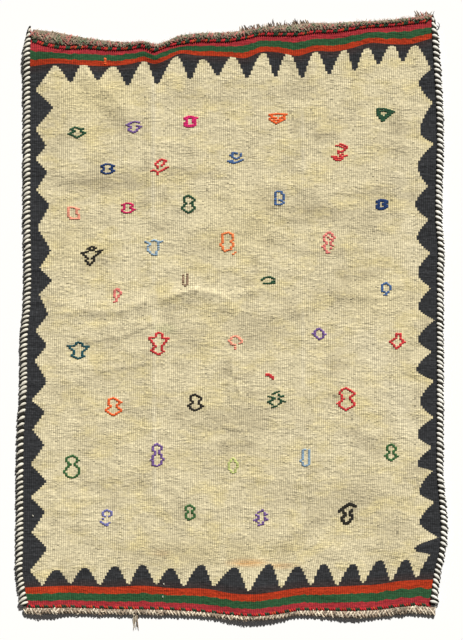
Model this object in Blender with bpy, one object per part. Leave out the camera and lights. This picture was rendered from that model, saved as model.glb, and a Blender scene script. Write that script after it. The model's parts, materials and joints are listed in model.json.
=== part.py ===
"""A small flat-woven wool rug, laid flat: its cloth, overcast sides, plaited ends and loose warp ends.

The rug lies in the XY plane on Z = 0. Its length runs along Y and its width along X, and its origin is under
the middle of its box. The tables are in millimetres, and the meshes are made in metres.
"""

import random

import bmesh
import bpy
import numpy as np

METRES = 0.001

# The cloth
CLOTH_THICK = 3.0
BAND_SHARE = 0.037  # share of the woven length that the three stripes take at each end
EVEN_COLUMNS = 26
FIELD_ROWS = 32
BAND_ROWS = 2
FOLD_LINES_X = (-186.0, 171.0)  # the two folds that run the whole length
FOLD_SHOULDER = 14.0  # half their width
FOLD_CLEARANCE = 9.8  # an evenly spaced column that comes nearer to a fold's own columns is left out

# The pieces sewn and plaited along its edges
PIECE_GAP = 0.35
CORD_WIDTH = 16.5
CORD_HEIGHT = 9.0
CORD_SLANT = 0.5  # how far a wrap drops for each millimetre that it runs outwards
CORD_TAPER_WRAPS = 12  # the wraps over which the cord thins towards each of its ends
CORD_END_SIZE = 0.72
WRAPS_PER_ROW = 3
DARK_WRAP_SHARE = 0.84  # the dark wraps lie lower than the pale ones
PLAIT_HEIGHT = 10.5
PLAIT_LUMPS_PER_COLUMN = 2
PLAIT_DIP = 0.86  # height of a dip between two lumps, as a share of a lump's
PLAIT_UNEVEN = (0.92, 1.04)
PLAIT_END_SIZE = 0.7
BACKING_WIDTH = 2.0
STRAND_WIDTH = 1.8
STRAND_HEIGHT = 2.4

# Cross-sections, from the inner foot over the top to the outer foot: share of the width, share of the height
CORD_SECTION = ((0.0, 0.0), (0.0, 0.40), (0.30, 0.95), (0.68, 1.0), (1.0, 0.45), (0.86, 0.0))
PLAIT_SECTION = ((0.0, 0.0), (0.0, 0.36), (0.24, 0.92), (0.62, 1.0), (1.0, 0.48), (0.90, 0.0))


def table(columns, *rows):
    """Named columns of a table, each as an array."""
    return dict(zip(columns.split(), np.array(rows, float).T))


# The cloth's long edges: the distance along the rug, and the place of its left and right edge there
SIDES = table(
    "along left right",
    (-700, -491, 478),
    (-650, -495, 481),
    (-600, -502, 489),
    (-560, -501, 498),
    (-520, -500, 503),
    (-440, -500, 500),
    (-370, -500, 494),
    (-260, -498, 494),
    (-180, -492, 494),
    (-50, -490, 494),
    (40, -483, 494),
    (110, -481, 494),
    (170, -482, 496),
    (240, -483, 491),
    (300, -483, 491),
    (450, -483, 494),
    (520, -483, 492),
    (640, -483, 485),
    (700, -481, 481),
)

# The top end: where the dark border starts, the cloth's own edge, and the plait's outer edge
TOP_END = table(
    "across border cloth plait",
    (-481, 608, 673, 699),
    (-414, 616, 657, 690),
    (-344, 611, 657, 677),
    (-286, 610, 653, 670),
    (-246, 614, 655, 667),
    (-210, 621, 659, 670),
    (-182, 615, 650, 663),
    (-157, 624, 660, 669),
    (-130, 638, 666, 681),
    (-80, 635, 673, 689),
    (-3, 632, 674, 692),
    (33, 629, 680, 697),
    (69, 643, 688, 702),
    (110, 642, 688, 705),
    (158, 634, 688, 710),
    (196, 645, 694, 714),
    (246, 645, 696, 713),
    (285, 652, 701, 716),
    (325, 664, 707, 718),
    (388, 662, 711, 722),
    (424, 662, 715, 726),
    (481, 677, 722, 731),
)

# The bottom end, in the same columns
BOTTOM_END = table(
    "across border cloth plait",
    (-491, -642, -690, -707),
    (-375, -638, -690, -706),
    (-291, -641, -693, -708),
    (-207, -638, -694, -709),
    (-135, -644, -696, -710),
    (-63, -645, -701, -713),
    (9, -657, -708, -721),
    (57, -658, -710, -722),
    (105, -652, -706, -719),
    (165, -643, -697, -711),
    (225, -641, -697, -714),
    (285, -638, -697, -716),
    (345, -635, -695, -715),
    (405, -626, -688, -708),
    (441, -624, -685, -706),
    (478, -623, -688, -710),
)

# The folds and swells that lift the cloth off the surface: the line of each crest, how far it spreads to
# either side, and how high it stands
FOLDS = table(
    "from_x from_y to_x to_y reach height",
    (-187, 560, -187, 250, 30, 3.0),
    (-187, 20, -184, -420, 30, 3.4),
    (170, 500, 172, 330, 28, 2.2),
    (172, 30, 172, -160, 30, 2.8),
    (-430, 24, -255, 26, 40, 4.0),
    (-255, 26, -104, 65, 42, 6.0),
    (-104, 65, -15, 45, 38, 4.5),
    (-366, -37, -256, -23, 34, 3.6),
    (-256, -23, -195, -4, 32, 3.0),
    (262, 74, 345, 66, 34, 3.2),
    (11, -100, 11, -175, 30, 2.6),
    (-330, 575, -262, 505, 42, 3.4),
    (-520, 640, -440, 642, 52, 6.0),
    (-182, 690, -185, 640, 44, 5.0),
    (140, 720, 130, 660, 60, 3.6),
    (-450, -720, -440, -680, 62, 5.0),
    (60, -730, 55, -660, 105, 4.6),
    (285, -725, 290, -680, 60, 3.0),
    (505, -540, 470, -560, 50, 3.2),
)

# The cut warp ends: how far along the plait each group reaches, how many, and their shortest and longest
FRINGE_TOP = {"from_x": 20, "to_x": 184, "strands": 30, "shortest": 7, "longest": 17, "lean": 0.45}
TUFT_CORNER = {"from_x": 446, "to_x": 479, "strands": 6, "shortest": 9, "longest": 17, "lean": 0.5}
TUFT_BOTTOM = {"from_x": -240, "to_x": -214, "strands": 4, "shortest": 20, "longest": 34, "lean": 0.12}

# A loose end's form past its root: shares of its length, of its lean, of its width and of its height
STRAND_FORM = table(
    "along sideways width height",
    (0.55, 0.4, 0.8, 0.6),
    (1.0, 1.0, 0.35, 0.35),
)

CORD_TOP = {"left": 709, "right": 733}  # where each overcast cord ends, past the cloth's top corners
PLAIT_OVERHANG = {"left": 5, "right": 15}  # how far the bottom plait runs past the cloth's corners

# Colour and roughness of each yarn
YARNS = {
    "cloth_wool": ((0.66, 0.57, 0.37), 0.92),
    "overcast_wool": ((0.30, 0.29, 0.25), 0.88),
    "plait_wool": ((0.36, 0.31, 0.23), 0.95),
    "loose_wool": ((0.30, 0.26, 0.20), 0.95),
}


def read(columns, name, place):
    """One column of a table at a place along its first column, on a smooth curve through the rows."""
    places, values = list(columns.values())[0], columns[name]
    slopes = np.gradient(values, places)
    k = np.clip(np.searchsorted(places, place) - 1, 0, len(places) - 2)
    span = places[k + 1] - places[k]
    t = np.clip((place - places[k]) / span, 0.0, 1.0)
    start = values[k] * (1 + 2 * t) * (1 - t) ** 2 + values[k + 1] * t * t * (3 - 2 * t)
    return start + span * (slopes[k] * t * (1 - t) ** 2 - slopes[k + 1] * t * t * (1 - t))


def end_line(end, name, across_share):
    """A line of one end at a share of its width: its place, the straight line under it, and its waves."""
    places, values = end["across"], end[name]
    place = read(end, name, places[0] + across_share * (places[-1] - places[0]))
    straight = values[0] + across_share * (values[-1] - values[0])
    return place, straight, place - straight


def cloth_place(across_share, along_share):
    """X and Y of a point of the cloth, from its shares of the woven width and length."""
    across_share, along_share = np.broadcast_arrays(across_share, along_share)
    low = end_line(BOTTOM_END, "cloth", across_share)[0]
    low_border, low_straight, low_wave = end_line(BOTTOM_END, "border", across_share)
    high_border, high_straight, high_wave = end_line(TOP_END, "border", across_share)
    high = end_line(TOP_END, "cloth", across_share)[0]
    s = np.clip((along_share - BAND_SHARE) / (1 - 2 * BAND_SHARE), 0.0, 1.0)
    y = (1 - s) * low_straight + s * high_straight + (1 - s) ** 3 * low_wave + s**3 * high_wave
    into_low = np.clip(along_share / BAND_SHARE, 0.0, 1.0)
    into_high = np.clip((1 - along_share) / BAND_SHARE, 0.0, 1.0)
    y = np.where(into_low < 1, low + (low_border - low) * into_low, y)
    y = np.where(into_high < 1, high + (high_border - high) * into_high, y)
    left, right = read(SIDES, "left", y), read(SIDES, "right", y)
    return left + (right - left) * across_share, y


def lift(x, y):
    """How far the folds raise the cloth off the surface at a point."""
    highest = np.zeros(np.broadcast(x, y).shape)
    for x0, y0, x1, y1, reach, height in zip(*FOLDS.values()):
        run = np.array([x1 - x0, y1 - y0])
        t = np.clip(((x - x0) * run[0] + (y - y0) * run[1]) / (run @ run), 0.0, 1.0)
        away = np.hypot(x - x0 - t * run[0], y - y0 - t * run[1]) / reach
        highest = np.maximum(highest, height * np.clip(1 - away**2, 0.0, 1.0) ** 2)
    return highest


def column_shares():
    """The cloth's columns: evenly spaced ones, and three at each fold that runs the whole length."""
    width = SIDES["right"].mean() - SIDES["left"].mean()
    folds = [
        (x + side * FOLD_SHOULDER - SIDES["left"].mean()) / width
        for x in FOLD_LINES_X
        for side in (-1, 0, 1)
    ]
    even = [
        share
        for share in np.linspace(0, 1, EVEN_COLUMNS + 1)
        if min(abs(share - fold) for fold in folds) * width > FOLD_CLEARANCE
    ]
    return np.array(sorted(even + folds))


def row_shares():
    """The cloth's rows: two in each band of stripes, and the rest evenly spaced in the field."""
    low = np.linspace(0, BAND_SHARE, BAND_ROWS + 1)
    field = np.linspace(BAND_SHARE, 1 - BAND_SHARE, FIELD_ROWS + 1)
    high = np.linspace(1 - BAND_SHARE, 1, BAND_ROWS + 1)
    return np.concatenate([low, field[1:-1], high])


def yarn_material(name):
    colour, roughness = YARNS[name]
    material = bpy.data.materials.new(name)
    material.use_nodes = True
    shader = material.node_tree.nodes["Principled BSDF"]
    shader.inputs["Base Color"].default_value = (*colour, 1.0)
    shader.inputs["Roughness"].default_value = roughness
    shader.inputs["Metallic"].default_value = 0.0
    material.diffuse_color = (*colour, 1.0)
    return material


def add_piece(name, mesh_maker, material):
    """An object of the rug, from a bmesh in millimetres whose faces are turned outwards here."""
    bmesh.ops.recalc_face_normals(mesh_maker, faces=mesh_maker.faces)
    bmesh.ops.scale(mesh_maker, vec=(METRES, METRES, METRES), verts=mesh_maker.verts)
    mesh = bpy.data.meshes.new(name)
    mesh_maker.to_mesh(mesh)
    mesh_maker.free()
    mesh.materials.append(material)
    piece = bpy.data.objects.new(name, mesh)
    bpy.context.scene.collection.objects.link(piece)
    return piece


def make_cloth():
    """The woven sheet, of one thickness, lying on the surface but for its folds."""
    across, along = np.meshgrid(column_shares(), row_shares())
    x, y = cloth_place(across, along)
    z = lift(x, y)
    maker = bmesh.new()
    layers = [
        [[maker.verts.new(point) for point in zip(*line)] for line in zip(x, y, z + thick)]
        for thick in (0.0, CLOTH_THICK)
    ]
    rows, columns = x.shape
    for layer in layers:
        for i in range(rows - 1):
            for j in range(columns - 1):
                maker.faces.new((layer[i][j], layer[i][j + 1], layer[i + 1][j + 1], layer[i + 1][j]))
    rim = [(0, j) for j in range(columns)]
    rim += [(i, columns - 1) for i in range(1, rows)]
    rim += [(rows - 1, j) for j in range(columns - 2, -1, -1)]
    rim += [(i, 0) for i in range(rows - 2, 0, -1)]
    under, over = layers
    for (i, j), (k, m) in zip(rim, rim[1:] + rim[:1]):
        maker.faces.new((under[i][j], under[k][m], over[k][m], over[i][j]))
    bmesh.ops.triangulate(maker, faces=maker.faces)
    return add_piece("cloth", maker, yarn_material("cloth_wool"))


def add_tube(maker, rings):
    """A closed tube through rings that each hold the same number of points."""
    made = [[maker.verts.new(point) for point in ring] for ring in rings]
    sides = len(made[0])
    for first, second in zip(made, made[1:]):
        for k in range(sides):
            m = (k + 1) % sides
            maker.faces.new((first[k], first[m], second[m], second[k]))
    maker.faces.new(made[0])
    maker.faces.new(made[-1])


def finer(points, steps):
    """The same broken line with steps points to each of its stretches, every corner kept."""
    out = [points[0]]
    for start, end in zip(points, points[1:]):
        out += [start + (end - start) * k / steps for k in range(1, steps + 1)]
    return np.array(out)


def make_cord(side):
    """An overcast side: pale and dark wraps in turn along the cloth's edge, flat where they lie."""
    share, outwards = (0.0, -1.0) if side == "left" else (1.0, 1.0)
    x, y = cloth_place(share, row_shares())
    edge = finer(np.stack([x, y], axis=1), 2 * WRAPS_PER_ROW)
    spacing = edge[-1, 1] - edge[-2, 1]
    past = np.arange(edge[-1, 1] + spacing, CORD_TOP[side], spacing)
    edge = np.concatenate([edge, np.stack([np.full(len(past), edge[-1, 0]), past], axis=1)])
    rings = []
    for k, (edge_x, edge_y) in enumerate(edge):
        from_end = min(1.0, min(k, len(edge) - 1 - k) / CORD_TAPER_WRAPS)
        size = 1.0 if k % 2 == 0 else DARK_WRAP_SHARE
        size *= CORD_END_SIZE + (1 - CORD_END_SIZE) * from_end
        drop = CORD_SLANT * from_end
        floor = float(lift(edge_x, edge_y))
        ring = []
        for out_share, up_share in CORD_SECTION:
            out = out_share * CORD_WIDTH * size
            ring.append(
                (
                    edge_x + outwards * (PIECE_GAP + out),
                    edge_y - drop * out,
                    floor + up_share * CORD_HEIGHT * size,
                )
            )
        rings.append(ring)
    maker = bmesh.new()
    add_tube(maker, rings)
    return add_piece("selvedge_" + side, maker, yarn_material("overcast_wool"))


def plait_line(end):
    """The inner and outer edge of one end's plait, at the cloth's columns and between them."""
    shares = column_shares()
    outwards = 1.0 if end is TOP_END else -1.0
    along = 1.0 if end is TOP_END else 0.0
    x, inner = cloth_place(shares, along)
    outer = end_line(end, "plait", shares)[0]
    line = np.stack([x, inner + outwards * PIECE_GAP, outer], axis=1)
    if end is BOTTOM_END:
        first, last = line[0].copy(), line[-1].copy()
        first[0] -= PLAIT_OVERHANG["left"]
        last[0] += PLAIT_OVERHANG["right"]
        line = np.concatenate([[first], line, [last]])
    return finer(line, PLAIT_LUMPS_PER_COLUMN)


def make_plait(name, end):
    """The braid of warp ends along one end of the cloth, uneven in width and height."""
    line = plait_line(end)
    uneven = random.Random(name)
    rings = []
    for k, (x, inner, outer) in enumerate(line):
        lump = 1.0 if k % 2 else PLAIT_DIP
        lump *= uneven.uniform(*PLAIT_UNEVEN)
        if k in (0, len(line) - 1):
            lump *= PLAIT_END_SIZE
        floor = float(lift(x, inner))
        rings.append(
            [
                (x, inner + (outer - inner) * out_share, floor + PLAIT_HEIGHT * up_share * lump)
                for out_share, up_share in PLAIT_SECTION
            ]
        )
    maker = bmesh.new()
    add_tube(maker, rings)
    return add_piece(name, maker, yarn_material("plait_wool"))


def bridge(maker, first, second, open_side=None):
    """The faces between two rings of four points, but for the side that is left open."""
    for k in range(4):
        if k != open_side:
            m = (k + 1) % 4
            maker.faces.new((first[k], first[m], second[m], second[k]))


def grow_strand(maker, opening, outwards, length, lean):
    """One loose end that grows out of an opening of four points and thins to its tip."""
    left, right = opening[0].co, opening[3].co
    root_x, root_y = (left.x + right.x) / 2, (left.y + right.y) / 2
    ring = opening
    for along, sideways, width, height in zip(*STRAND_FORM.values()):
        x, y = root_x + sideways * lean * length, root_y + outwards * along * length
        half, top = width * STRAND_WIDTH / 2, height * STRAND_HEIGHT
        corners = ((x - half, y, 0), (x - half, y, top), (x + half, y, top), (x + half, y, 0))
        following = [maker.verts.new(corner) for corner in corners]
        bridge(maker, ring, following)
        ring = following
    maker.faces.new(ring)


def make_strands(name, end, group):
    """Loose warp ends that lie on the surface, grown from one narrow strip beside the plait."""
    outwards = 1.0 if end is TOP_END else -1.0
    line = plait_line(end)
    spacing = (group["to_x"] - group["from_x"]) / group["strands"]
    stations = [group["from_x"]]
    for k in range(group["strands"]):
        root_x = group["from_x"] + (k + 0.5) * spacing
        stations += [root_x - STRAND_WIDTH / 2, root_x + STRAND_WIDTH / 2]
    stations.append(group["to_x"])
    maker = bmesh.new()
    rings = []
    for x in stations:
        inner = np.interp(x, line[:, 0], line[:, 2]) + outwards * PIECE_GAP
        outer = inner + outwards * BACKING_WIDTH
        corners = ((x, inner, 0), (x, inner, STRAND_HEIGHT), (x, outer, STRAND_HEIGHT), (x, outer, 0))
        rings.append([maker.verts.new(corner) for corner in corners])
    maker.faces.new(rings[0])
    maker.faces.new(rings[-1])
    uneven = random.Random(name)
    outer_side = 2
    for k, (first, second) in enumerate(zip(rings, rings[1:])):
        grows = k % 2 == 1
        bridge(maker, first, second, outer_side if grows else None)
        if grows:
            length = uneven.uniform(group["shortest"], group["longest"])
            lean = uneven.uniform(-0.5, 0.5) * group["lean"]
            opening = [first[3], first[2], second[2], second[3]]
            grow_strand(maker, opening, outwards, length, lean)
    bmesh.ops.triangulate(maker, faces=maker.faces)
    return add_piece(name, maker, yarn_material("loose_wool"))


def make_rug():
    for old in list(bpy.data.objects):
        bpy.data.objects.remove(old)
    make_cloth()
    make_cord("left")
    make_cord("right")
    make_plait("plait_top", TOP_END)
    make_plait("plait_bottom", BOTTOM_END)
    make_strands("fringe_top", TOP_END, FRINGE_TOP)
    make_strands("tuft_corner", TOP_END, TUFT_CORNER)
    make_strands("tuft_bottom", BOTTOM_END, TUFT_BOTTOM)


make_rug()
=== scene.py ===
"""The looks of a small flat-woven wool rug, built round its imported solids.

The rug lies on Z = 0, its length along Y and its width along X. Lengths in the tables are millimetres, and
the meshes are made in metres.
"""

import json
import math
import random
from collections import namedtuple

import bpy
import numpy as np
from bpy.props import FloatProperty, FloatVectorProperty, IntProperty, PointerProperty
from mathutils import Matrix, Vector

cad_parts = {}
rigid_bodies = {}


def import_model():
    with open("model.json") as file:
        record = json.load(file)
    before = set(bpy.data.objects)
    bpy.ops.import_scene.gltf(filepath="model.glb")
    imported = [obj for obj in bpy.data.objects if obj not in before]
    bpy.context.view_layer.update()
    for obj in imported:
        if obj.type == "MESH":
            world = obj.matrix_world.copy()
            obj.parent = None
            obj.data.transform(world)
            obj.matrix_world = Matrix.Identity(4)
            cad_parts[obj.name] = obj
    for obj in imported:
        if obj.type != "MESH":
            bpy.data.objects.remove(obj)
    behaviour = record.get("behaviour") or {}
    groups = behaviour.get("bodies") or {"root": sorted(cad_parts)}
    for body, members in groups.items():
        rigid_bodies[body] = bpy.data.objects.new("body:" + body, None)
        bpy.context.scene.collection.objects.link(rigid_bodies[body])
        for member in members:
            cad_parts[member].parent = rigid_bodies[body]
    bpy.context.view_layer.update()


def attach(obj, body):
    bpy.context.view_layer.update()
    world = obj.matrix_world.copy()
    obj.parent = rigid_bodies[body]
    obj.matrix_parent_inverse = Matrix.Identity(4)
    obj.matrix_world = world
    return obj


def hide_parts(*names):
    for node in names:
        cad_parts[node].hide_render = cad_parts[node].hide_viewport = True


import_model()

bl_info = {
    "name": "Kilim",
    "version": (1, 0, 0),
    "blender": (4, 5, 0),
    "location": "3D View > Sidebar > Kilim",
    "description": "Weaves a small wool rug with a stepped border, overcast sides and plaited ends",
    "category": "Object",
}

METRES = 0.001
UP = np.array([0.0, 0.0, 1.0])


def table(columns, *rows):
    """Named columns of a table, each as an array."""
    return dict(zip(columns.split(), np.array(rows, float).T))


# The cloth's shape, as in the part's source: its long edges
SIDES = table(
    "along left right",
    (-700, -491, 478),
    (-650, -495, 481),
    (-600, -502, 489),
    (-560, -501, 498),
    (-520, -500, 503),
    (-440, -500, 500),
    (-370, -500, 494),
    (-260, -498, 494),
    (-180, -492, 494),
    (-50, -490, 494),
    (40, -483, 494),
    (110, -481, 494),
    (170, -482, 496),
    (240, -483, 491),
    (300, -483, 491),
    (450, -483, 494),
    (520, -483, 492),
    (640, -483, 485),
    (700, -481, 481),
)

# The top end: where the dark border starts, the cloth's own edge, and the plait's outer edge
TOP_END = table(
    "across border cloth plait",
    (-481, 608, 673, 699),
    (-414, 616, 657, 690),
    (-344, 611, 657, 677),
    (-286, 610, 653, 670),
    (-246, 614, 655, 667),
    (-210, 621, 659, 670),
    (-182, 615, 650, 663),
    (-157, 624, 660, 669),
    (-130, 638, 666, 681),
    (-80, 635, 673, 689),
    (-3, 632, 674, 692),
    (33, 629, 680, 697),
    (69, 643, 688, 702),
    (110, 642, 688, 705),
    (158, 634, 688, 710),
    (196, 645, 694, 714),
    (246, 645, 696, 713),
    (285, 652, 701, 716),
    (325, 664, 707, 718),
    (388, 662, 711, 722),
    (424, 662, 715, 726),
    (481, 677, 722, 731),
)

# The bottom end, in the same columns
BOTTOM_END = table(
    "across border cloth plait",
    (-491, -642, -690, -707),
    (-375, -638, -690, -706),
    (-291, -641, -693, -708),
    (-207, -638, -694, -709),
    (-135, -644, -696, -710),
    (-63, -645, -701, -713),
    (9, -657, -708, -721),
    (57, -658, -710, -722),
    (105, -652, -706, -719),
    (165, -643, -697, -711),
    (225, -641, -697, -714),
    (285, -638, -697, -716),
    (345, -635, -695, -715),
    (405, -626, -688, -708),
    (441, -624, -685, -706),
    (478, -623, -688, -710),
)

# The folds and swells: the line of each crest, how far it spreads to either side, and how high it stands. The
# lines are those of the part's source. The field's own folds stand lower here, because the creases below add
# their sharp part.
FOLDS = table(
    "from_x from_y to_x to_y reach height",
    (-187, 560, -187, 250, 30, 2.2),
    (-187, 20, -184, -420, 30, 2.4),
    (170, 500, 172, 330, 28, 1.6),
    (172, 30, 172, -160, 30, 1.8),
    (-430, 24, -255, 26, 40, 1.6),
    (-255, 26, -104, 65, 42, 2.4),
    (-104, 65, -15, 45, 38, 2.0),
    (-366, -37, -256, -23, 34, 1.6),
    (-256, -23, -195, -4, 32, 1.5),
    (262, 74, 345, 66, 34, 1.6),
    (11, -100, 11, -175, 30, 1.8),
    (-330, 575, -262, 505, 42, 2.6),
    (-520, 640, -440, 642, 52, 6.0),
    (-182, 690, -185, 640, 44, 5.0),
    (140, 720, 130, 660, 60, 3.6),
    (-450, -720, -440, -680, 62, 5.0),
    (60, -730, 55, -660, 105, 4.6),
    (285, -725, 290, -680, 60, 3.0),
    (505, -540, 470, -560, 50, 3.2),
)

BAND_SHARE = 0.037  # share of the woven length that the three stripes take at each end
CLOTH_THICK = 3.0
CORD_WIDTH = 16.5
CORD_TOP = {"left": 709, "right": 733}
PLAIT_OVERHANG = {"left": 5, "right": 15}
PLAIT_HEIGHT = 10.5

# The dark border's teeth: each row gives one notch of the cream field and the dark tip after it
TOP_TEETH = table(
    "notch_x notch_y tip_x tip_y",
    (-426, 610, -386, 571),
    (-354, 613, -321, 576),
    (-284, 608, -249, 563),
    (-208, 620, -178, 566),
    (-135, 631, -99, 578),
    (-68, 625, -33, 587),
    (4, 631, 38, 581),
    (77, 640, 105, 584),
    (138, 638, 170, 581),
    (202, 643, 234, 590),
    (271, 647, 296, 598),
    (325, 652, 353, 614),
    (386, 658, 411, 621),
    (439, 658, 482, 605),
)
BOTTOM_TEETH = table(
    "notch_x notch_y tip_x tip_y",
    (-455, -637, -420, -600),
    (-386, -632, -351, -595),
    (-316, -635, -279, -591),
    (-246, -634, -213, -588),
    (-180, -634, -145, -596),
    (-114, -638, -71, -588),
    (-42, -638, 9, -594),
    (41, -650, 91, -586),
    (120, -642, 159, -592),
    (191, -636, 222, -586),
    (254, -636, 293, -586),
    (316, -631, 357, -577),
    (384, -625, 419, -575),
    (444, -617, 484, -560),
)
LEFT_TEETH = table(
    "notch_x notch_y tip_x tip_y",
    (-469, 552, -429, 510),
    (-469, 458, -445, 418),
    (-469, 387, -443, 355),
    (-467, 312, -437, 275),
    (-465, 222, -434, 167),
    (-459, 125, -432, 95),
    (-460, 61, -441, 14),
    (-469, -26, -443, -60),
    (-471, -98, -443, -148),
    (-478, -192, -449, -221),
    (-476, -263, -450, -300),
    (-480, -346, -445, -388),
    (-480, -425, -449, -461),
    (-478, -510, -443, -549),
)
TOP_CORNERS = table("x y", (-440, 611))
LEFT_CORNERS = table("x y", (-426, 612), (-483, -602), (-452, -640))
RIGHT_TEETH = table(
    "notch_x notch_y tip_x tip_y",
    (482, 605, 451, 569),
    (482, 522, 452, 454),
    (485, 423, 447, 371),
    (471, 321, 442, 278),
    (473, 241, 447, 197),
    (477, 161, 447, 114),
    (478, 77, 449, 32),
    (487, 0, 449, -46),
    (480, -76, 446, -118),
    (486, -146, 453, -195),
    (485, -234, 446, -274),
    (482, -305, 447, -346),
    (483, -361, 452, -412),
    (487, -437, 453, -485),
    (496, -522, 441, -549),
)

RIGHT_CORNERS = table("x y", (482, -562))
BOTTOM_CORNERS = table("x y", (-470, -637))

# Sharp creases that the folds have left in the cloth, as the folds are given; a trough has a height below 0
CREASES = table(
    "from_x from_y to_x to_y reach height",
    (-440, 20, -330, 16, 9, 1.2),
    (-330, 16, -262, 22, 10, 1.6),
    (-262, 22, -205, 44, 9, 1.5),
    (-168, 46, -128, 62, 8, 2.0),
    (-128, 62, -84, 71, 9, 2.4),
    (-84, 71, -44, 64, 9, 2.4),
    (-44, 64, -6, 48, 8, 1.8),
    (-70, 20, 10, 30, 8, 1.2),
    (20, 62, 75, 78, 8, 1.4),
    (-345, -52, -250, -34, 8, 1.3),
    (-250, -34, -190, -6, 8, 1.5),
    (-420, -108, -290, -120, 8, 0.9),
    (-290, -120, -215, -104, 8, 1.3),
    (255, 60, 350, 52, 8, 1.3),
    (350, 52, 430, 60, 8, 1.0),
    (80, 68, 130, 58, 8, 1.2),
    (-30, 300, 20, 291, 7, 1.0),
    (-320, 372, -120, 368, 8, 0.8),
    (-100, 410, 60, 404, 7, 0.8),
    (-420, 330, -330, 336, 7, 0.9),
    (-420, 296, -300, 290, 7, 0.9),
    (120, 250, 200, 238, 8, 1.1),
    (60, 268, 130, 276, 7, 1.0),
    (-90, -250, 30, -262, 8, 1.0),
    (-20, -150, 60, -172, 8, 1.2),
    (0, -110, 20, -180, 6, 1.4),
    (180, -120, 260, -128, 7, 0.9),
    (-420, -250, -300, -244, 7, 0.8),
    (60, -380, 190, -392, 8, 0.9),
    (-330, -430, -220, -424, 7, 0.8),
    (-184, 500, -188, 330, 6, 1.0),
    (-186, -10, -184, -160, 6, 1.0),
    (-188, -220, -184, -400, 6, 0.9),
    (171, 480, 172, 360, 6, 0.8),
    (172, 10, 171, -100, 6, 0.9),
    (-310, 560, -262, 515, 8, 1.0),
    (-182, 690, -186, 650, 7, 1.8),
    (395, 520, 470, 500, 8, 0.9),
)

# Greyer or marked places, some of them narrow lines of painted shade along the creases: their middle, how far
# they spread, and how strong they are. The highlit places are paler: painted highlight along the fold crests, and some
# pale patches; they are given as the folds are.
GREYED_AND_CREASE_SHADE = table(
    "x y reach_x reach_y strength",
    (-300, 330, 190, 46, 0.75),
    (-120, 352, 150, 30, 0.55),
    (200, 258, 120, 42, 0.8),
    (330, 240, 110, 60, 0.35),
    (-60, 180, 110, 50, 0.35),
    (60, -20, 130, 70, 0.45),
    (-100, -40, 90, 60, 0.4),
    (10, -240, 210, 60, 0.5),
    (-40, -330, 240, 40, 0.35),
    (150, -420, 180, 60, 0.35),
    (-430, 470, 60, 120, 0.4),
    (380, -500, 80, 130, 0.35),
    (390, 330, 60, 110, 0.3),
    (-60, 520, 160, 26, 0.35),
    (140, 545, 130, 30, 0.4),
    (-150, -560, 220, 60, 0.5),
    (300, -430, 130, 90, 0.5),
    (-250, -120, 90, 40, 0.4),
    (-330, -300, 90, 50, 0.35),
    (250, 60, 110, 40, 0.45),
    (250, 165, 150, 16, 0.6),
    (60, 130, 16, 60, 0.4),
    (395, 470, 40, 60, 0.5),
    (-150, 54, 20, 5, 0.8),
    (-120, 64, 20, 5, 0.9),
    (-90, 69, 20, 5, 0.9),
    (-60, 66, 22, 5, 0.8),
    (-30, 56, 18, 5, 0.7),
    (-265, -24, 24, 5, 0.6),
    (-225, -12, 24, 5, 0.6),
    (-345, 22, 50, 8, 0.6),
    (-250, -113, 30, 5, 0.6),
    (11, -139, 5, 16, 1.0),
    (16, -170, 6, 10, 0.9),
    (-15, -156, 14, 5, 0.8),
    (262, -405, 30, 14, 0.9),
    (100, 150, 8, 5, 0.9),
    (330, 95, 24, 8, 0.6),
    (180, 250, 60, 8, 0.5),
)
YELLOWED = table(
    "x y reach_x reach_y strength",
    (-330, 540, 170, 90, 0.7),
    (-390, 180, 110, 90, 0.4),
    (20, 230, 180, 120, 0.5),
    (350, 60, 130, 90, 0.35),
    (-20, -560, 300, 50, 0.45),
)
# Painted highlight along the fold crests, and some wider pale patches
HIGHLIT_FOLDS_AND_PALE_PATCHES = table(
    "from_x from_y to_x to_y reach height",
    (-187, 575, -188, 250, 9, 1.0),
    (-187, 200, -186, 60, 9, 0.5),
    (-186, 20, -184, -420, 9, 0.8),
    (171, 500, 172, 330, 9, 0.7),
    (172, 30, 172, -160, 9, 0.7),
    (172, -300, 173, -470, 9, 0.4),
    (330, -60, 440, -260, 60, 0.7),
    (-110, 240, 10, 250, 50, 0.4),
    (395, 380, 450, 130, 40, 0.5),
    (120, -260, 300, -300, 60, 0.35),
    (-20, -500, -20, -580, 14, 0.5),
)
PEACH_STAIN = table(
    "x y reach_x reach_y strength",
    (40, -583, 74, 14, 0.9),
    (120, -590, 60, 10, 0.7),
    (-170, -560, 36, 12, 0.25),
)
GREEN_STAIN = table(
    "x y reach_x reach_y strength",
    (-160, -22, 42, 22, 0.4),
    (-400, 640, 26, 10, 0.3),
)

# How far apart the pale wraps lie along each overcast side
WRAP_PITCH = table(
    "along left right",
    (-700, 12.0, 12.6),
    (-380, 12.0, 12.6),
    (-340, 16.5, 12.2),
    (-210, 16.5, 11.4),
    (-170, 11.5, 11.0),
    (300, 11.5, 12.6),
    (730, 11.5, 13.4),
)

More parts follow.
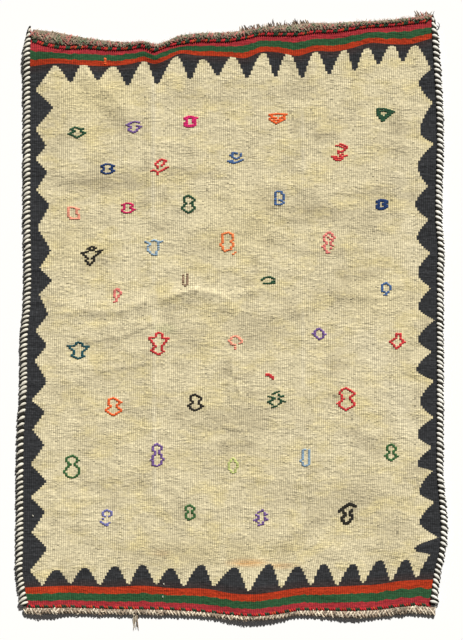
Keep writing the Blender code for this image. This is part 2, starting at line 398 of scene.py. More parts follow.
# Yarn colours, as screen values out of 255
DYES = {
    "black": (44, 41, 35),
    "dark_green": (44, 80, 56),
    "green": (62, 104, 60),
    "teal": (38, 82, 88),
    "navy": (38, 62, 108),
    "blue": (74, 104, 150),
    "light_blue": (142, 168, 188),
    "violet": (118, 118, 172),
    "purple": (118, 90, 148),
    "magenta": (214, 42, 108),
    "crimson": (196, 44, 92),
    "red": (202, 58, 62),
    "pale_red": (222, 124, 116),
    "coral": (238, 156, 130),
    "orange_red": (236, 104, 52),
    "orange": (236, 130, 76),
    "brown": (146, 122, 100),
    "lime": (196, 204, 128),
    "band_orange": (186, 74, 40),
    "band_red": (188, 44, 48),
    "band_green": (40, 72, 50),
    "pale_wrap": (226, 221, 205),
    "white_wrap": (240, 237, 226),
    "dark_wrap": (40, 38, 31),
    "plait_pale": (230, 216, 192),
    "plait_beige": (172, 152, 130),
    "plait_taupe": (162, 146, 122),
    "plait_grey": (132, 118, 102),
    "plait_dark": (84, 72, 62),
    "plait_pink": (188, 118, 108),
    "plait_moss": (112, 124, 96),
    "warp_brown": (92, 72, 56),
    "warp_black": (48, 40, 34),
}

# Forms of the small figures, charted on the ribs: strokes through places in shares of half a figure's size.
# A stroke that ends where it starts is closed.
FORMS = {
    "hourglass": (
        ((-0.8, 0.6), (-0.2, 0.95), (0.4, 0.9), (1, 0.6), (0.4, 0.05), (1, -0.35), (0.45, -0.9), (-0.35, -1),
         (-1, -0.6), (-0.4, -0.05), (-0.8, 0.6)),
    ),
    "winged": (
        ((-0.7, 0.5), (-0.25, 0.9), (0.4, 0.55), (0.85, 0.65), (0.3, 0.2), (0.95, -0.1), (0.5, -0.55),
         (-0.1, -1), (-0.5, -0.55), (-1, -0.3), (-0.3, 0.2), (-0.7, 0.5)),
    ),
    "bow": (
        ((-0.2, 0.9), (-0.95, 0.4), (-0.4, 0), (-0.9, -0.5), (0, -1), (0.55, -0.45), (1, 0.1), (0.35, 0.25)),
        ((0.25, 0.95), (0.85, 0.8)),
    ),
    "fan": (
        ((-0.95, 0.55), (0, 0.7), (1, 0.6), (0.5, 0.1), (0.9, -0.2), (0.3, -0.6), (-0.15, -1), (-0.6, -0.6),
         (-0.95, -0.15), (-0.5, 0.1), (-0.95, 0.55)),
        ((-0.4, -0.05), (-0.2, 0)),
        ((0.2, 0), (0.35, -0.05)),
        ((-0.35, -0.4), (0.25, -0.35)),
    ),
    "shield": (
        ((-0.8, 0.75), (0, 0.8), (1, 0.35), (0.3, -0.35), (-0.25, -1), (-0.7, -0.2), (-0.9, 0.35), (-0.8, 0.75)),
        ((-0.55, 0.45), (0.1, 0.5), (0.6, 0.25), (0.1, -0.2), (-0.2, -0.55), (-0.45, -0.05), (-0.55, 0.45)),
    ),
    "kite": (
        ((-0.3, -0.25), (-0.6, 0.25), (0, 0.75), (0.45, 0.6), (0.3, 0.35), (0, 0)),
        ((-1, -0.6), (-0.75, -0.5), (-0.45, -0.65), (-0.3, -1)),
        ((-0.15, -0.65), (0.6, -0.15)),
    ),
    "crown": (
        ((0, 0.8), (-0.4, 1), (-0.75, 0.5), (-0.35, -0.1), (0.1, -0.15), (0.5, 0.3), (0.6, 0.75)),
        ((-1, -0.6), (-0.7, -0.5), (-0.55, -1), (-0.3, -0.85), (0.1, -0.8), (0.8, -0.35)),
        ((-0.9, -0.8), (-0.6, -0.8)),
    ),
    "hooks": (
        ((-0.6, 0.8), (-0.35, 0.8)),
        ((0.05, 1), (0.85, 0.65), (0.2, 0), (-0.3, 0.15), (-0.3, -0.15)),
        ((0.1, 0.7), (0.4, 0.5)),
        ((0.85, -0.4), (0.4, -0.5), (0.05, -1), (-0.55, -1), (-1, -0.55), (-0.45, -0.55)),
        ((-0.5, -0.75), (0.1, -0.7)),
        ((-0.1, -0.45), (0.3, -0.25)),
    ),
    "stirrup": (
        ((-0.45, -1), (-0.6, 0), (-0.85, 0.9), (-0.05, 1), (0.9, 0.7), (0.5, 0.1), (0.95, -0.35), (0.85, -1),
         (-0.45, -1)),
    ),
    "eight": (
        ((-0.1, 1), (0.4, 0.8), (0.9, 0.5), (0.35, 0.1), (0.75, -0.3), (1, -0.45), (0.45, -0.75), (-0.1, -1),
         (-0.6, -0.75), (-1, -0.4), (-0.4, 0.05), (-0.8, 0.5), (-0.6, 0.8), (-0.1, 1)),
    ),
    "long_eight": (
        ((0, 1), (0.7, 0.75), (0.8, 0.55), (0.25, 0.25), (0.7, 0), (1, -0.35), (0.75, -0.75), (0.1, -1),
         (-0.6, -0.9), (-1, -0.45), (-0.75, -0.1), (-0.2, 0.2), (-0.75, 0.5), (-0.65, 0.8), (0, 1)),
    ),
    "broken_eight": (
        ((-0.35, 0.65), (0.25, 0.95)),
        ((0.35, 0.6), (0.6, 0.3), (0.85, 0.4)),
        ((-0.8, 0.35), (-0.15, 0.1), (-0.45, -0.15), (-1, -0.35)),
        ((0.25, 0.1), (0.7, -0.2), (1, -0.3)),
        ((0.4, -0.6), (0.7, -0.35)),
        ((-0.8, -0.5), (-0.5, -0.65)),
        ((-0.5, -1), (0.1, -0.85)),
    ),
    "open_eight": (
        ((-0.2, 0.2), (-0.65, 0.55), (0, 1), (1, 0.7), (0.7, 0.2)),
        ((-0.5, -0.1), (-0.35, -0.15)),
        ((-1, -0.45), (-0.55, -0.7), (0.05, -0.95), (0.5, -0.6)),
    ),
    "thick_hooks": (
        ((1, 0.75), (0.3, 1), (-0.55, 0.6)),
        ((-1, 0.25), (-0.8, 0.45), (-0.25, -0.05), (-0.75, -0.5), (-0.4, -0.95), (0.05, -1), (0.45, -0.6),
         (0.7, -0.25), (0.15, -0.05), (0.55, 0.35)),
    ),
    "barrel": (
        ((-0.85, -0.1), (-0.8, 0.6), (-0.25, 1), (0.35, 0.95), (0.8, 0.5), (0.8, -0.2)),
        ((-0.6, -0.3), (-0.9, -0.7), (-0.45, -1), (0.35, -1), (0.85, -0.8), (0.7, -0.4), (0.1, -0.3)),
    ),
    "pendant": (
        ((-0.35, 0.75), (0, 1), (0.35, 0.85), (0.2, 0.6), (-0.15, 0.6), (-0.35, 0.75)),
        ((0.45, 0.45), (1, 0.6), (0.55, 0.15), (0.2, -0.1)),
        ((-0.45, 0.45), (-1, 0.3), (-0.65, 0), (-0.3, -0.3)),
        ((-0.6, -0.45), (-0.2, -1), (0.1, -0.6), (0.3, -0.3), (0, -0.25)),
    ),
    "bell": (
        ((-1, 0.55), (-0.4, 0.55), (-0.2, 0.9), (0.05, 1), (0.35, 0.85), (0.45, 0.5), (1, 0.5), (0.65, 0.1),
         (0.3, -0.3), (0.5, -0.7), (0, -1), (-0.7, -0.6), (-0.3, -0.25), (-0.65, 0.15), (-1, 0.55)),
    ),
    "vase": (
        ((-1, 0.7), (-0.55, 0.5), (-0.6, 0), (-0.6, -0.55), (-0.2, -0.95), (0.3, -1), (0.45, -0.4),
         (0.6, 0.15), (0.6, 0.55), (1, 0.75)),
        ((-0.4, 0.75), (0.1, 0.9), (0.5, 0.7)),
    ),
    "urn": (
        ((-0.55, -0.6), (-0.95, -0.15), (-0.6, 0.15), (-0.85, 0.45), (-0.6, 0.8), (0, 0.95), (0.5, 0.75),
         (0.7, 0.4), (0.4, 0.1), (0.75, -0.15), (0.35, -0.45)),
        ((-0.5, -0.75), (0, -0.65), (0.3, -0.6)),
        ((0.65, -1), (1, -0.85)),
    ),
    "drop": (
        ((-0.6, 0.1), (-0.85, 0.4), (-0.4, 0.7), (0, 0.9), (0.55, 0.7), (0.85, 0.4), (0.5, 0.1)),
        ((-0.6, 0.1), (-0.4, -0.15), (-0.85, -0.4), (-0.65, -0.55), (-0.3, -1), (0.15, -0.9)),
        ((0.5, 0.1), (0.2, -0.15), (0.6, -0.35), (0.35, -0.6)),
        ((-0.1, 0.45), (0.15, 0.3)),
    ),
    "loop": (
        ((0.3, -0.3), (1, 0.1), (0.6, 0.5), (0, 0.7), (-0.8, 0.45), (-1, 0), (-0.8, -0.35), (-0.3, -0.5),
         (-0.2, -0.75), (-0.8, -0.9)),
    ),
    "ring": (
        ((0, 1), (0.65, 0.7), (1, 0), (0.65, -0.7), (0, -1), (-0.65, -0.7), (-1, 0), (-0.65, 0.7), (0, 1)),
    ),
    "tailed_ring": (
        ((0.7, -0.2), (1, 0.1), (0.5, 0.45), (0.15, 0.6), (-0.3, 0.55), (-0.7, 0.1), (-0.4, -0.3), (0.2, -0.35)),
        ((0, -0.6), (0, -1)),
    ),
    "arch": (
        ((-1, 0.1), (-0.45, 0.8), (0.15, 1), (0.9, 0.45)),
        ((1, -0.15), (0.6, -0.25), (0.8, -0.7), (0.15, -0.8), (-0.7, -0.8)),
    ),
    "crossed_ring": (
        ((-0.85, -0.1), (-0.6, 0.65), (0.05, 0.95), (0.7, 0.65), (1, -0.1)),
        ((-1, -0.4), (-0.3, -0.45), (0.25, -1)),
        ((0.55, -0.45), (-0.3, -1)),
    ),
    "diamond": (
        ((-1, 0.1), (-0.45, 0.8), (0.1, 1), (0.6, 0.65), (1, 0), (0.65, -0.7), (0, -0.95), (-0.5, -0.35),
         (-1, 0.1)),
    ),
    "crested": (
        ((-0.35, 0.6), (-0.3, 0.95), (0, 0.85), (0.3, 0.9), (0.4, 0.6)),
        ((-0.35, 0.35), (-1, -0.1), (-0.6, -0.5), (-0.2, -1), (0.25, -0.6), (0.55, -0.3)),
        ((0.25, 0.35), (0.55, 0.05), (0.9, -0.15)),
    ),
    "dash": (
        ((-1, 0.6), (-0.4, 0.65), (0.1, -0.2), (0.55, -1)),
    ),
    "trough": (
        ((-0.2, 1), (-0.55, 1), (-0.65, 0.25), (-1, -0.3), (-0.4, -0.9), (0.2, -0.85), (0.75, -0.4),
         (0.5, 0.3), (0.65, 0.95)),
    ),
    "bar": (((0, 1), (0, -1)),),
}

# The figures: form, middle, size, yarn, share of stitches worn away, and how many rows of stitches thick
Figure = namedtuple("Figure", "form x y width height dye worn rows")
FIGURES = [
    Figure(*row)
    for row in (
        ("winged", -370, 451, 43, 31, "dark_green", 0, 1),
        ("bow", -234, 463, 36, 31, "purple", 0, 1),
        ("hourglass", -99, 478, 34, 27, "magenta", 0, 2),
        ("fan", 111, 485, 46, 32, "orange_red", 0, 1),
        ("shield", 368, 494, 46, 38, "dark_green", 0, 1),
        ("hourglass", -298, 363, 36, 28, "navy", 0, 1),
        ("kite", -168, 370, 52, 46, "red", 0, 1),
        ("crown", 13, 389, 40, 30, "blue", 0.03, 1),
        ("hooks", 262, 403, 44, 43, "red", 0.03, 1),
        ("stirrup", -381, 257, 34, 32, "coral", 0.05, 1),
        ("hourglass", -249, 269, 34, 28, "crimson", 0, 1),
        ("eight", -102, 278, 36, 46, "dark_green", 0, 1),
        ("barrel", 114, 293, 29, 36, "blue", 0.05, 1),
        ("hourglass", 361, 279, 31, 25, "navy", 0, 2),
        ("pendant", -335, 154, 53, 50, "black", 0, 1),
        ("vase", -186, 175, 44, 42, "light_blue", 0.14, 1),
        ("urn", -8, 185, 42, 58, "orange", 0.03, 1),
        ("drop", 234, 187, 34, 58, "pale_red", 0.07, 1),
        ("loop", -274, 61, 20, 44, "pale_red", 0.03, 1),
        ("ring", -111, 98, 18, 36, "brown", 0.3, 1),
        ("arch", 89, 95, 36, 22, "dark_green", 0, 1),
        ("crossed_ring", 371, 75, 26, 34, "blue", 0, 1),
        ("bell", -367, -73, 53, 44, "teal", 0, 1),
        ("bell", -175, -57, 50, 58, "red", 0.05, 1),
        ("tailed_ring", 8, -52, 40, 48, "coral", 0.07, 1),
        ("diamond", 210, -34, 31, 31, "purple", 0.03, 1),
        ("crested", 400, -50, 40, 42, "red", 0, 1),
        ("dash", 95, -133, 22, 15, "red", 0, 2),
        ("eight", -282, -208, 41, 46, "orange_red", 0, 1),
        ("eight", -86, -198, 38, 43, "black", 0, 1),
        ("broken_eight", 107, -190, 43, 43, "dark_green", 0, 1),
        ("eight", 277, -190, 45, 58, "red", 0, 1),
        ("long_eight", -382, -352, 40, 58, "green", 0.05, 1),
        ("long_eight", -178, -324, 31, 58, "purple", 0.03, 1),
        ("ring", 4, -350, 24, 40, "lime", 0.07, 1),
        ("trough", 180, -332, 28, 46, "light_blue", 0.05, 1),
        ("eight", 384, -318, 30, 44, "green", 0, 1),
        ("open_eight", -301, -475, 32, 43, "violet", 0, 1),
        ("eight", -99, -462, 30, 40, "green", 0, 1),
        ("broken_eight", 72, -474, 36, 42, "purple", 0.05, 1),
        ("thick_hooks", 279, -463, 42, 52, "black", 0, 2),
        ("bar", -302, 621, 2, 16, "orange_red", 0, 1),
    )
]

# Loose threads: root, how far the tip lies from it, thickness, sideways wave and yarn
Thread = namedtuple("Thread", "x y tip_x tip_y thick wave dye")
THREADS = [
    Thread(*row)
    for row in (
        (97, 708, 4, 16, 1.2, 0.8, "warp_brown"),
        (101, 708, 1, 12, 1.2, 0.8, "warp_black"),
        (127, 708, 3, 13, 1.1, 0.8, "warp_brown"),
        (156, 711, -3, 14, 1.3, 0.8, "warp_black"),
        (158, 711, 1, 10, 1.3, 0.8, "warp_brown"),
        (499, -297, 15, -12, 1.3, 3.0, "warp_black"),
        (495, 713, 3, -24, 1.3, 4.0, "warp_black"),
        (-163, -632, 2, -4, 1.6, 0.3, "pale_wrap"),
        (-165, -662, 1, -5, 1.6, 0.3, "pale_wrap"),
        (-477, -468, 2, -4, 1.6, 0.3, "pale_wrap"),
    )
]

# The cut warp ends: how far along the plait each group reaches, and what its strands measure
Strands = namedtuple("Strands", "name at_top from_x to_x count shortest longest lean dyes")
STRAND_GROUPS = [
    Strands("fringe_top", True, 18, 186, 90, 2, 11, 0.9, ("warp_brown", "plait_dark", "plait_grey", "plait_beige")),
    Strands("tuft_corner", True, 446, 480, 26, 4, 15, 0.9, ("plait_grey", "plait_dark", "plait_pink", "plait_beige")),
    Strands("tuft_bottom", False, -234, -224, 8, 24, 38, 0.1, ("plait_pale", "plait_beige", "plait_grey", "plait_dark")),
]


def linear(name):
    """A dye's colour as the shaders take it, from its screen values."""
    screen = np.array(DYES[name]) / 255.0
    return tuple(np.where(screen <= 0.04045, screen / 12.92, ((screen + 0.055) / 1.055) ** 2.4)) + (1.0,)


# Settings that a user would change


def colour_setting(name, description, screen):
    values = [c / 255.0 for c in screen]
    default = [((c + 0.055) / 1.055) ** 2.4 for c in values]
    return FloatVectorProperty(
        name=name, description=description, default=default, subtype="COLOR", size=3, min=0.0, max=1.0
    )


def length_setting(name, description, millimetres):
    return FloatProperty(
        name=name, description=description, default=millimetres * METRES, unit="LENGTH", min=0.0
    )


class KilimClothSettings(bpy.types.PropertyGroup):
    """Sizes and colours of the woven cloth."""

    ribs: IntProperty(name="Ribs", description="How many warp ribs run along the cloth", default=196, min=20, max=400)
    rows: IntProperty(name="Rows", description="How many rows of faces the cloth's top has", default=240, min=30, max=400)
    rib_depth: length_setting("Rib depth", "How far a groove lies below its ribs", 0.9)
    bead_length: length_setting("Weft bead", "Length of the bead that each weft shows on a rib", 2.7)
    cream: colour_setting("Cream", "The field's wool where it is cleanest", (232, 219, 180))
    # The worn cream is also the colour of the narrow painted shade along the creases
    worn: colour_setting("Worn cream", "The field's wool where it is greyest", (176, 163, 130))
    yellow: colour_setting("Yellowed cream", "The field's wool where it has yellowed", (230, 214, 160))
    # Painted highlight: this paler cream is painted along the fold crests, and in some pale patches
    rubbed: colour_setting("Highlit cream", "The field's wool where folds have rubbed it pale", (244, 235, 208))
    charcoal: colour_setting("Charcoal", "The stepped border's dark wool", (50, 51, 53))
    brown: colour_setting("Brown", "The stepped border's wool next to the stripes", (62, 46, 43))
    orange: colour_setting("Orange stripe", "The stripe next to the border", (180, 56, 24))
    green: colour_setting("Green stripe", "The middle stripe", (46, 88, 54))
    crimson: colour_setting("Crimson stripe", "The stripe at the cloth's end", (168, 48, 54))
    peach: colour_setting("Peach stain", "Dye that has run into the field", (214, 160, 96))
    moss: colour_setting("Green stain", "Green dye that has run into the field", (176, 178, 128))


class KilimEdgeSettings(bpy.types.PropertyGroup):
    """Sizes of the yarn sewn and plaited along the cloth's edges."""

    wrap_width: length_setting("Wrap width", "Width of a pale wrap along the side", 6.0)
    wrap_height: length_setting("Side height", "How high an overcast side stands", 8.6)
    wrap_slant: FloatProperty(
        name="Wrap slant", description="How far a wrap drops for each length that it runs outwards", default=0.62
    )
    plait_pitch: length_setting("Plait pitch", "Distance between two like strands of a plait", 8.0)
    twine_pitch: length_setting("Twine pitch", "Distance between two stitches of the twined rows", 5.3)
    hair_share: FloatProperty(
        name="Loose hairs", description="Loose hairs for each strand of a plait", default=2.0, min=0.0, max=4.0
    )


class KilimFigureSettings(bpy.types.PropertyGroup):
    """Sizes of the stitches that draw the small figures."""

    stitch_length: length_setting("Stitch length", "Length of a stitch across the ribs", 6.6)
    stitch_width: length_setting("Stitch width", "Width of a stitch along the ribs", 4.2)
    stitch_rise: length_setting("Stitch height", "How thick a stitch is", 2.0)
    spacing: length_setting("Stitch spacing", "Distance between two stitches of a line", 2.7)


class KilimStageSettings(bpy.types.PropertyGroup):
    """The floor, the lights and the camera."""

    floor: colour_setting("Floor", "The pale floor", (252, 252, 252))
    sun_height: FloatProperty(
        name="Key height", description="Angle of the key light above the floor", default=math.radians(32), subtype="ANGLE"
    )
    sun_side: FloatProperty(
        name="Key side", description="Angle of the key light from the rug's top end towards its right side",
        default=math.radians(20), subtype="ANGLE",
    )
    sun_spread: FloatProperty(
        name="Key spread", description="Angular size of the key light", default=math.radians(3), subtype="ANGLE"
    )
    sun_share: FloatProperty(
        name="Key share", description="Share of the floor's light that the key light gives", default=0.93, subtype="FACTOR"
    )
    brightness: FloatProperty(name="Brightness", description="How bright a white floor shows", default=1.04, min=0.0)
    pixel: length_setting("Picture scale", "Width of the floor that one of the picture's pixels shows", 2.4)
    camera_height: length_setting("Camera height", "How far above the rug the camera stands", 6000)


class KilimSettings(bpy.types.PropertyGroup):
    """All settings of the rug."""

    cloth: PointerProperty(type=KilimClothSettings)
    edges: PointerProperty(type=KilimEdgeSettings)
    figures: PointerProperty(type=KilimFigureSettings)
    stage: PointerProperty(type=KilimStageSettings)


# Where things lie on the rug


def read(columns, name, place):
    """One column of a table at a place along its first column, on a smooth curve through the rows."""
    places, values = list(columns.values())[0], columns[name]
    slopes = np.gradient(values, places)
    k = np.clip(np.searchsorted(places, place) - 1, 0, len(places) - 2)
    span = places[k + 1] - places[k]
    t = np.clip((place - places[k]) / span, 0.0, 1.0)
    start = values[k] * (1 + 2 * t) * (1 - t) ** 2 + values[k + 1] * t * t * (3 - 2 * t)
    return start + span * (slopes[k] * t * (1 - t) ** 2 - slopes[k + 1] * t * t * (1 - t))


def end_line(end, name, across_share):
    """A line of one end at a share of its width: its place, the straight line under it, and its waves."""
    places, values = end["across"], end[name]
    place = read(end, name, places[0] + across_share * (places[-1] - places[0]))
    straight = values[0] + across_share * (values[-1] - values[0])
    return place, straight, place - straight


def cloth_place(across_share, along_share):
    """X and Y of a point of the cloth, from its shares of the woven width and length."""
    across_share, along_share = np.broadcast_arrays(across_share, along_share)
    low = end_line(BOTTOM_END, "cloth", across_share)[0]
    low_border, low_straight, low_wave = end_line(BOTTOM_END, "border", across_share)
    high_border, high_straight, high_wave = end_line(TOP_END, "border", across_share)
    high = end_line(TOP_END, "cloth", across_share)[0]
    s = np.clip((along_share - BAND_SHARE) / (1 - 2 * BAND_SHARE), 0.0, 1.0)
    y = (1 - s) * low_straight + s * high_straight + (1 - s) ** 3 * low_wave + s**3 * high_wave
    into_low = np.clip(along_share / BAND_SHARE, 0.0, 1.0)
    into_high = np.clip((1 - along_share) / BAND_SHARE, 0.0, 1.0)
    y = np.where(into_low < 1, low + (low_border - low) * into_low, y)
    y = np.where(into_high < 1, high + (high_border - high) * into_high, y)
    left, right = read(SIDES, "left", y), read(SIDES, "right", y)
    return left + (right - left) * across_share, y


def woven_shares(x, y):
    """Shares of the woven width and length at a point of the cloth, found by halving."""
    left, right = read(SIDES, "left", y), read(SIDES, "right", y)
    across = np.clip((x - left) / (right - left), 0.0, 1.0)
    low, high = np.zeros_like(across), np.ones_like(across)
    for _ in range(24):
        middle = (low + high) / 2
        beyond = cloth_place(across, middle)[1] > y
        low, high = np.where(beyond, low, middle), np.where(beyond, middle, high)
    return across, (low + high) / 2


def lift(x, y, crests=FOLDS):
    """How far the folds raise the cloth off the floor at a point."""
    highest = np.zeros(np.broadcast(x, y).shape)
    for x0, y0, x1, y1, reach, height in zip(*crests.values()):
        run = np.array([x1 - x0, y1 - y0])
        t = np.clip(((x - x0) * run[0] + (y - y0) * run[1]) / (run @ run), 0.0, 1.0)
        away = np.hypot(x - x0 - t * run[0], y - y0 - t * run[1]) / reach
        highest = np.maximum(highest, height * np.clip(1 - away**2, 0.0, 1.0) ** 2)
    return highest


def cockle(x, y):
    """Slight unevenness of a cloth that has lain folded, at most about a millimetre."""
    waves = random.Random(11)
    height = np.zeros(np.broadcast(x, y).shape)
    for _ in range(14):
        turn, length = waves.uniform(0, math.pi), waves.uniform(70, 190)
        start, size = waves.uniform(0, math.tau), waves.uniform(0.05, 0.14)
        phase = (x * math.cos(turn) + y * math.sin(turn)) * math.tau / length + start
        height += size * (1 + np.sin(phase))
    return height


def cloth_height(x, y):
    """Height of the cloth's underside over the floor, folds and unevenness together."""
    return lift(x, y) + 0.5 * cockle(x, y)


def creased(x, y):
    """How far the sharp creases raise the cloth's top at a point."""
    total = np.zeros(np.broadcast(x, y).shape)
    for crease in zip(*CREASES.values()):
        *line, height = crease
        one = lift(x, y, dict(zip(CREASES, ([value] for value in (*line, 1.0)))))
        total += height * one
    return total


def cloth_top(x, y):
    """Height of the cloth's top, on its ribs."""
    return cloth_height(x, y) + CLOTH_THICK + 0.3 + creased(x, y)


def marked(marks, x, y):
    """How strongly a table's soft marks show at a point, from 0 to 1."""
    shown = np.zeros(np.broadcast(x, y).shape)
    for mark_x, mark_y, reach_x, reach_y, strength in zip(*marks.values()):
        away = np.hypot((x - mark_x) / reach_x, (y - mark_y) / reach_y)
        t = np.clip((1 - away) / 0.9, 0.0, 1.0)
        shown = np.maximum(shown, strength * t * t * (3 - 2 * t))
    return shown


# Meshes


def tube(line, wide, tall, sides=6, wide_axis=None, closed=False):
    """Points and faces of a yarn along a line, its section wide along one axis and tall across it."""
    line = np.asarray(line, float)
    if closed:
        along = np.roll(line, -1, axis=0) - np.roll(line, 1, axis=0)
    else:
        along = np.gradient(line, axis=0)
    along /= np.linalg.norm(along, axis=1, keepdims=True)
    axis = np.cross(UP, along) if wide_axis is None else np.broadcast_to(wide_axis, line.shape)
    axis = axis - (axis * along).sum(axis=1, keepdims=True) * along
    axis /= np.linalg.norm(axis, axis=1, keepdims=True)
    across = np.cross(along, axis)
    angles = np.arange(sides) * math.tau / sides
    wide = np.broadcast_to(wide, len(line))[:, None, None]
    tall = np.broadcast_to(tall, len(line))[:, None, None]
    rings = line[:, None] + wide * np.cos(angles)[:, None] * axis[:, None]
    rings = rings + tall * np.sin(angles)[:, None] * across[:, None]
    faces = []
    for i in range(len(line) if closed else len(line) - 1):
        first, second = i * sides, (i + 1) % len(line) * sides
        for k in range(sides):
            m = (k + 1) % sides
            faces.append((first + k, first + m, second + m, second + k))
    if not closed:
        last = (len(line) - 1) * sides
        faces.append(tuple(range(sides))[::-1])
        faces.append(tuple(range(last, last + sides)))
    return rings.reshape(-1, 3), faces


def add_object(name, mesh):
    piece = bpy.data.objects.new(name, mesh)
    bpy.context.scene.collection.objects.link(piece)
    return piece


def yarn_shape(name, points, faces):
    """A yarn to lay copies of. It has no dye of its own, so each copy takes its place's dye."""
    mesh = bpy.data.meshes.new(name)
    mesh.from_pydata(points * METRES, [], faces)
    mesh.shade_smooth()
    return add_object(name, mesh)


def yarn_object(name, parts, finish):
    """One smooth object from yarns that are given as points in millimetres, faces and dye."""
    points, faces, dyes = [], [], []
    for part_points, part_faces, dye in parts:
        faces += [tuple(len(points) + k for k in face) for face in part_faces]
        points += list(part_points * METRES)
        dyes += [dye] * len(part_points)
    mesh = bpy.data.meshes.new(name)
    mesh.from_pydata(points, [], faces)
    mesh.attributes.new("dye", "FLOAT_COLOR", "POINT").data.foreach_set("color", np.array(dyes, float).ravel())
    mesh.shade_smooth()
    mesh.materials.append(finish)
    return add_object(name, mesh)


def join(name, pieces):
    """Several objects made one."""
    with bpy.context.temp_override(
        active_object=pieces[0], object=pieces[0], selected_objects=pieces, selected_editable_objects=pieces
    ):
        bpy.ops.object.join()
    pieces[0].name = pieces[0].data.name = name
    return pieces[0]


def settle(piece, slot, *replaced):
    """The piece rides on the rug's one body and stands for its solids. The slot is not used."""
    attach(piece, "root")
    if replaced:
        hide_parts(*replaced)
    return piece


# Node trees


def add_node(tree, kind, inputs=(), **settings):
    """A node with its settings set, and its inputs linked or set by place or by name."""
    made = tree.nodes.new(kind)
    for name, value in settings.items():
        setattr(made, name, value)
    for key, value in inputs.items() if isinstance(inputs, dict) else enumerate(inputs):
        if isinstance(value, bpy.types.NodeSocket):
            tree.links.new(value, made.inputs[key])
        elif value is not None:
            made.inputs[key].default_value = value
    return made


class Maths:
    """Short names for the sums that a shader tree needs."""

    def __init__(self, tree):
        self.tree = tree

    def __call__(self, operation, *inputs, clamp=False):
        return add_node(self.tree, "ShaderNodeMath", inputs, operation=operation, use_clamp=clamp).outputs[0]

    def mix(self, share, first, second):
        made = add_node(self.tree, "ShaderNodeMix", {0: share, 6: first, 7: second}, data_type="RGBA")
        return made.outputs[2]

    def ramp(self, value, low, high, to_low=0.0, to_high=1.0, smooth=False):
        made = add_node(
            self.tree,
            "ShaderNodeMapRange",
            (value, low, high, to_low, to_high),
            interpolation_type="SMOOTHSTEP" if smooth else "LINEAR",
        )
        return made.outputs[0]

    def noise(self, x, y, detail=2.0, roughness=0.5, z=0.0):
        place = add_node(self.tree, "ShaderNodeCombineXYZ", (x, y, z)).outputs[0]
        made = add_node(
            self.tree,
            "ShaderNodeTexNoise",
            {"Vector": place, "Scale": 1.0, "Detail": detail, "Roughness": roughness},
        )
        return made.outputs["Fac"]


def copies_tree():
    """Geometry Nodes that lay copies of one shape at places holding each copy's turn, size and dye."""
    tree = bpy.data.node_groups.new("Lay yarn copies", "GeometryNodeTree")
    for name, kind, default in (
        ("Places", "NodeSocketGeometry", None),
        ("Shape", "NodeSocketObject", None),
        ("Size spread", "NodeSocketFloat", 0.1),
        ("Turn spread", "NodeSocketFloat", 0.1),
        ("Seed", "NodeSocketInt", 1),
        ("Finish", "NodeSocketMaterial", None),
    ):
        socket = tree.interface.new_socket(name, in_out="INPUT", socket_type=kind)
        if default is not None:
            socket.default_value = default
    tree.interface.new_socket("Copies", in_out="OUTPUT", socket_type="NodeSocketGeometry")
    given = tree.nodes.new("NodeGroupInput").outputs
    turn = add_node(tree, "GeometryNodeInputNamedAttribute", {"Name": "turn"}, data_type="FLOAT_VECTOR")
    size = add_node(tree, "GeometryNodeInputNamedAttribute", {"Name": "size"}, data_type="FLOAT_VECTOR")
    least = add_node(tree, "ShaderNodeMath", (0.0, given["Turn spread"]), operation="SUBTRACT").outputs[0]
    sway = add_node(
        tree, "FunctionNodeRandomValue", {2: least, 3: given["Turn spread"], "Seed": given["Seed"]}, data_type="FLOAT"
    )
    swayed = add_node(tree, "ShaderNodeCombineXYZ", {"Z": sway.outputs[1]}).outputs[0]
    turned = add_node(tree, "ShaderNodeVectorMath", (turn.outputs[0], swayed), operation="ADD").outputs[0]
    smallest = add_node(tree, "ShaderNodeMath", (1.0, given["Size spread"]), operation="SUBTRACT").outputs[0]
    largest = add_node(tree, "ShaderNodeMath", (1.0, given["Size spread"]), operation="ADD").outputs[0]
    seed = add_node(tree, "ShaderNodeMath", (given["Seed"], 7.0), operation="ADD").outputs[0]
    growth = add_node(tree, "FunctionNodeRandomValue", {2: smallest, 3: largest, "Seed": seed}, data_type="FLOAT")
    sized = add_node(tree, "ShaderNodeVectorMath", {0: size.outputs[0], "Scale": growth.outputs[1]}, operation="SCALE")
    shape = add_node(tree, "GeometryNodeObjectInfo", {"Object": given["Shape"]})
    laid = add_node(
        tree,
        "GeometryNodeInstanceOnPoints",
        {
            "Points": given["Places"],
            "Instance": shape.outputs["Geometry"],
            "Rotation": add_node(tree, "FunctionNodeEulerToRotation", (turned,)).outputs[0],
            "Scale": sized.outputs[0],
        },
    )
    real = add_node(tree, "GeometryNodeRealizeInstances", (laid.outputs[0],))
    finished = add_node(tree, "GeometryNodeSetMaterial", {"Geometry": real.outputs[0], "Material": given["Finish"]})
    add_node(tree, "NodeGroupOutput", (finished.outputs[0],))
    return tree


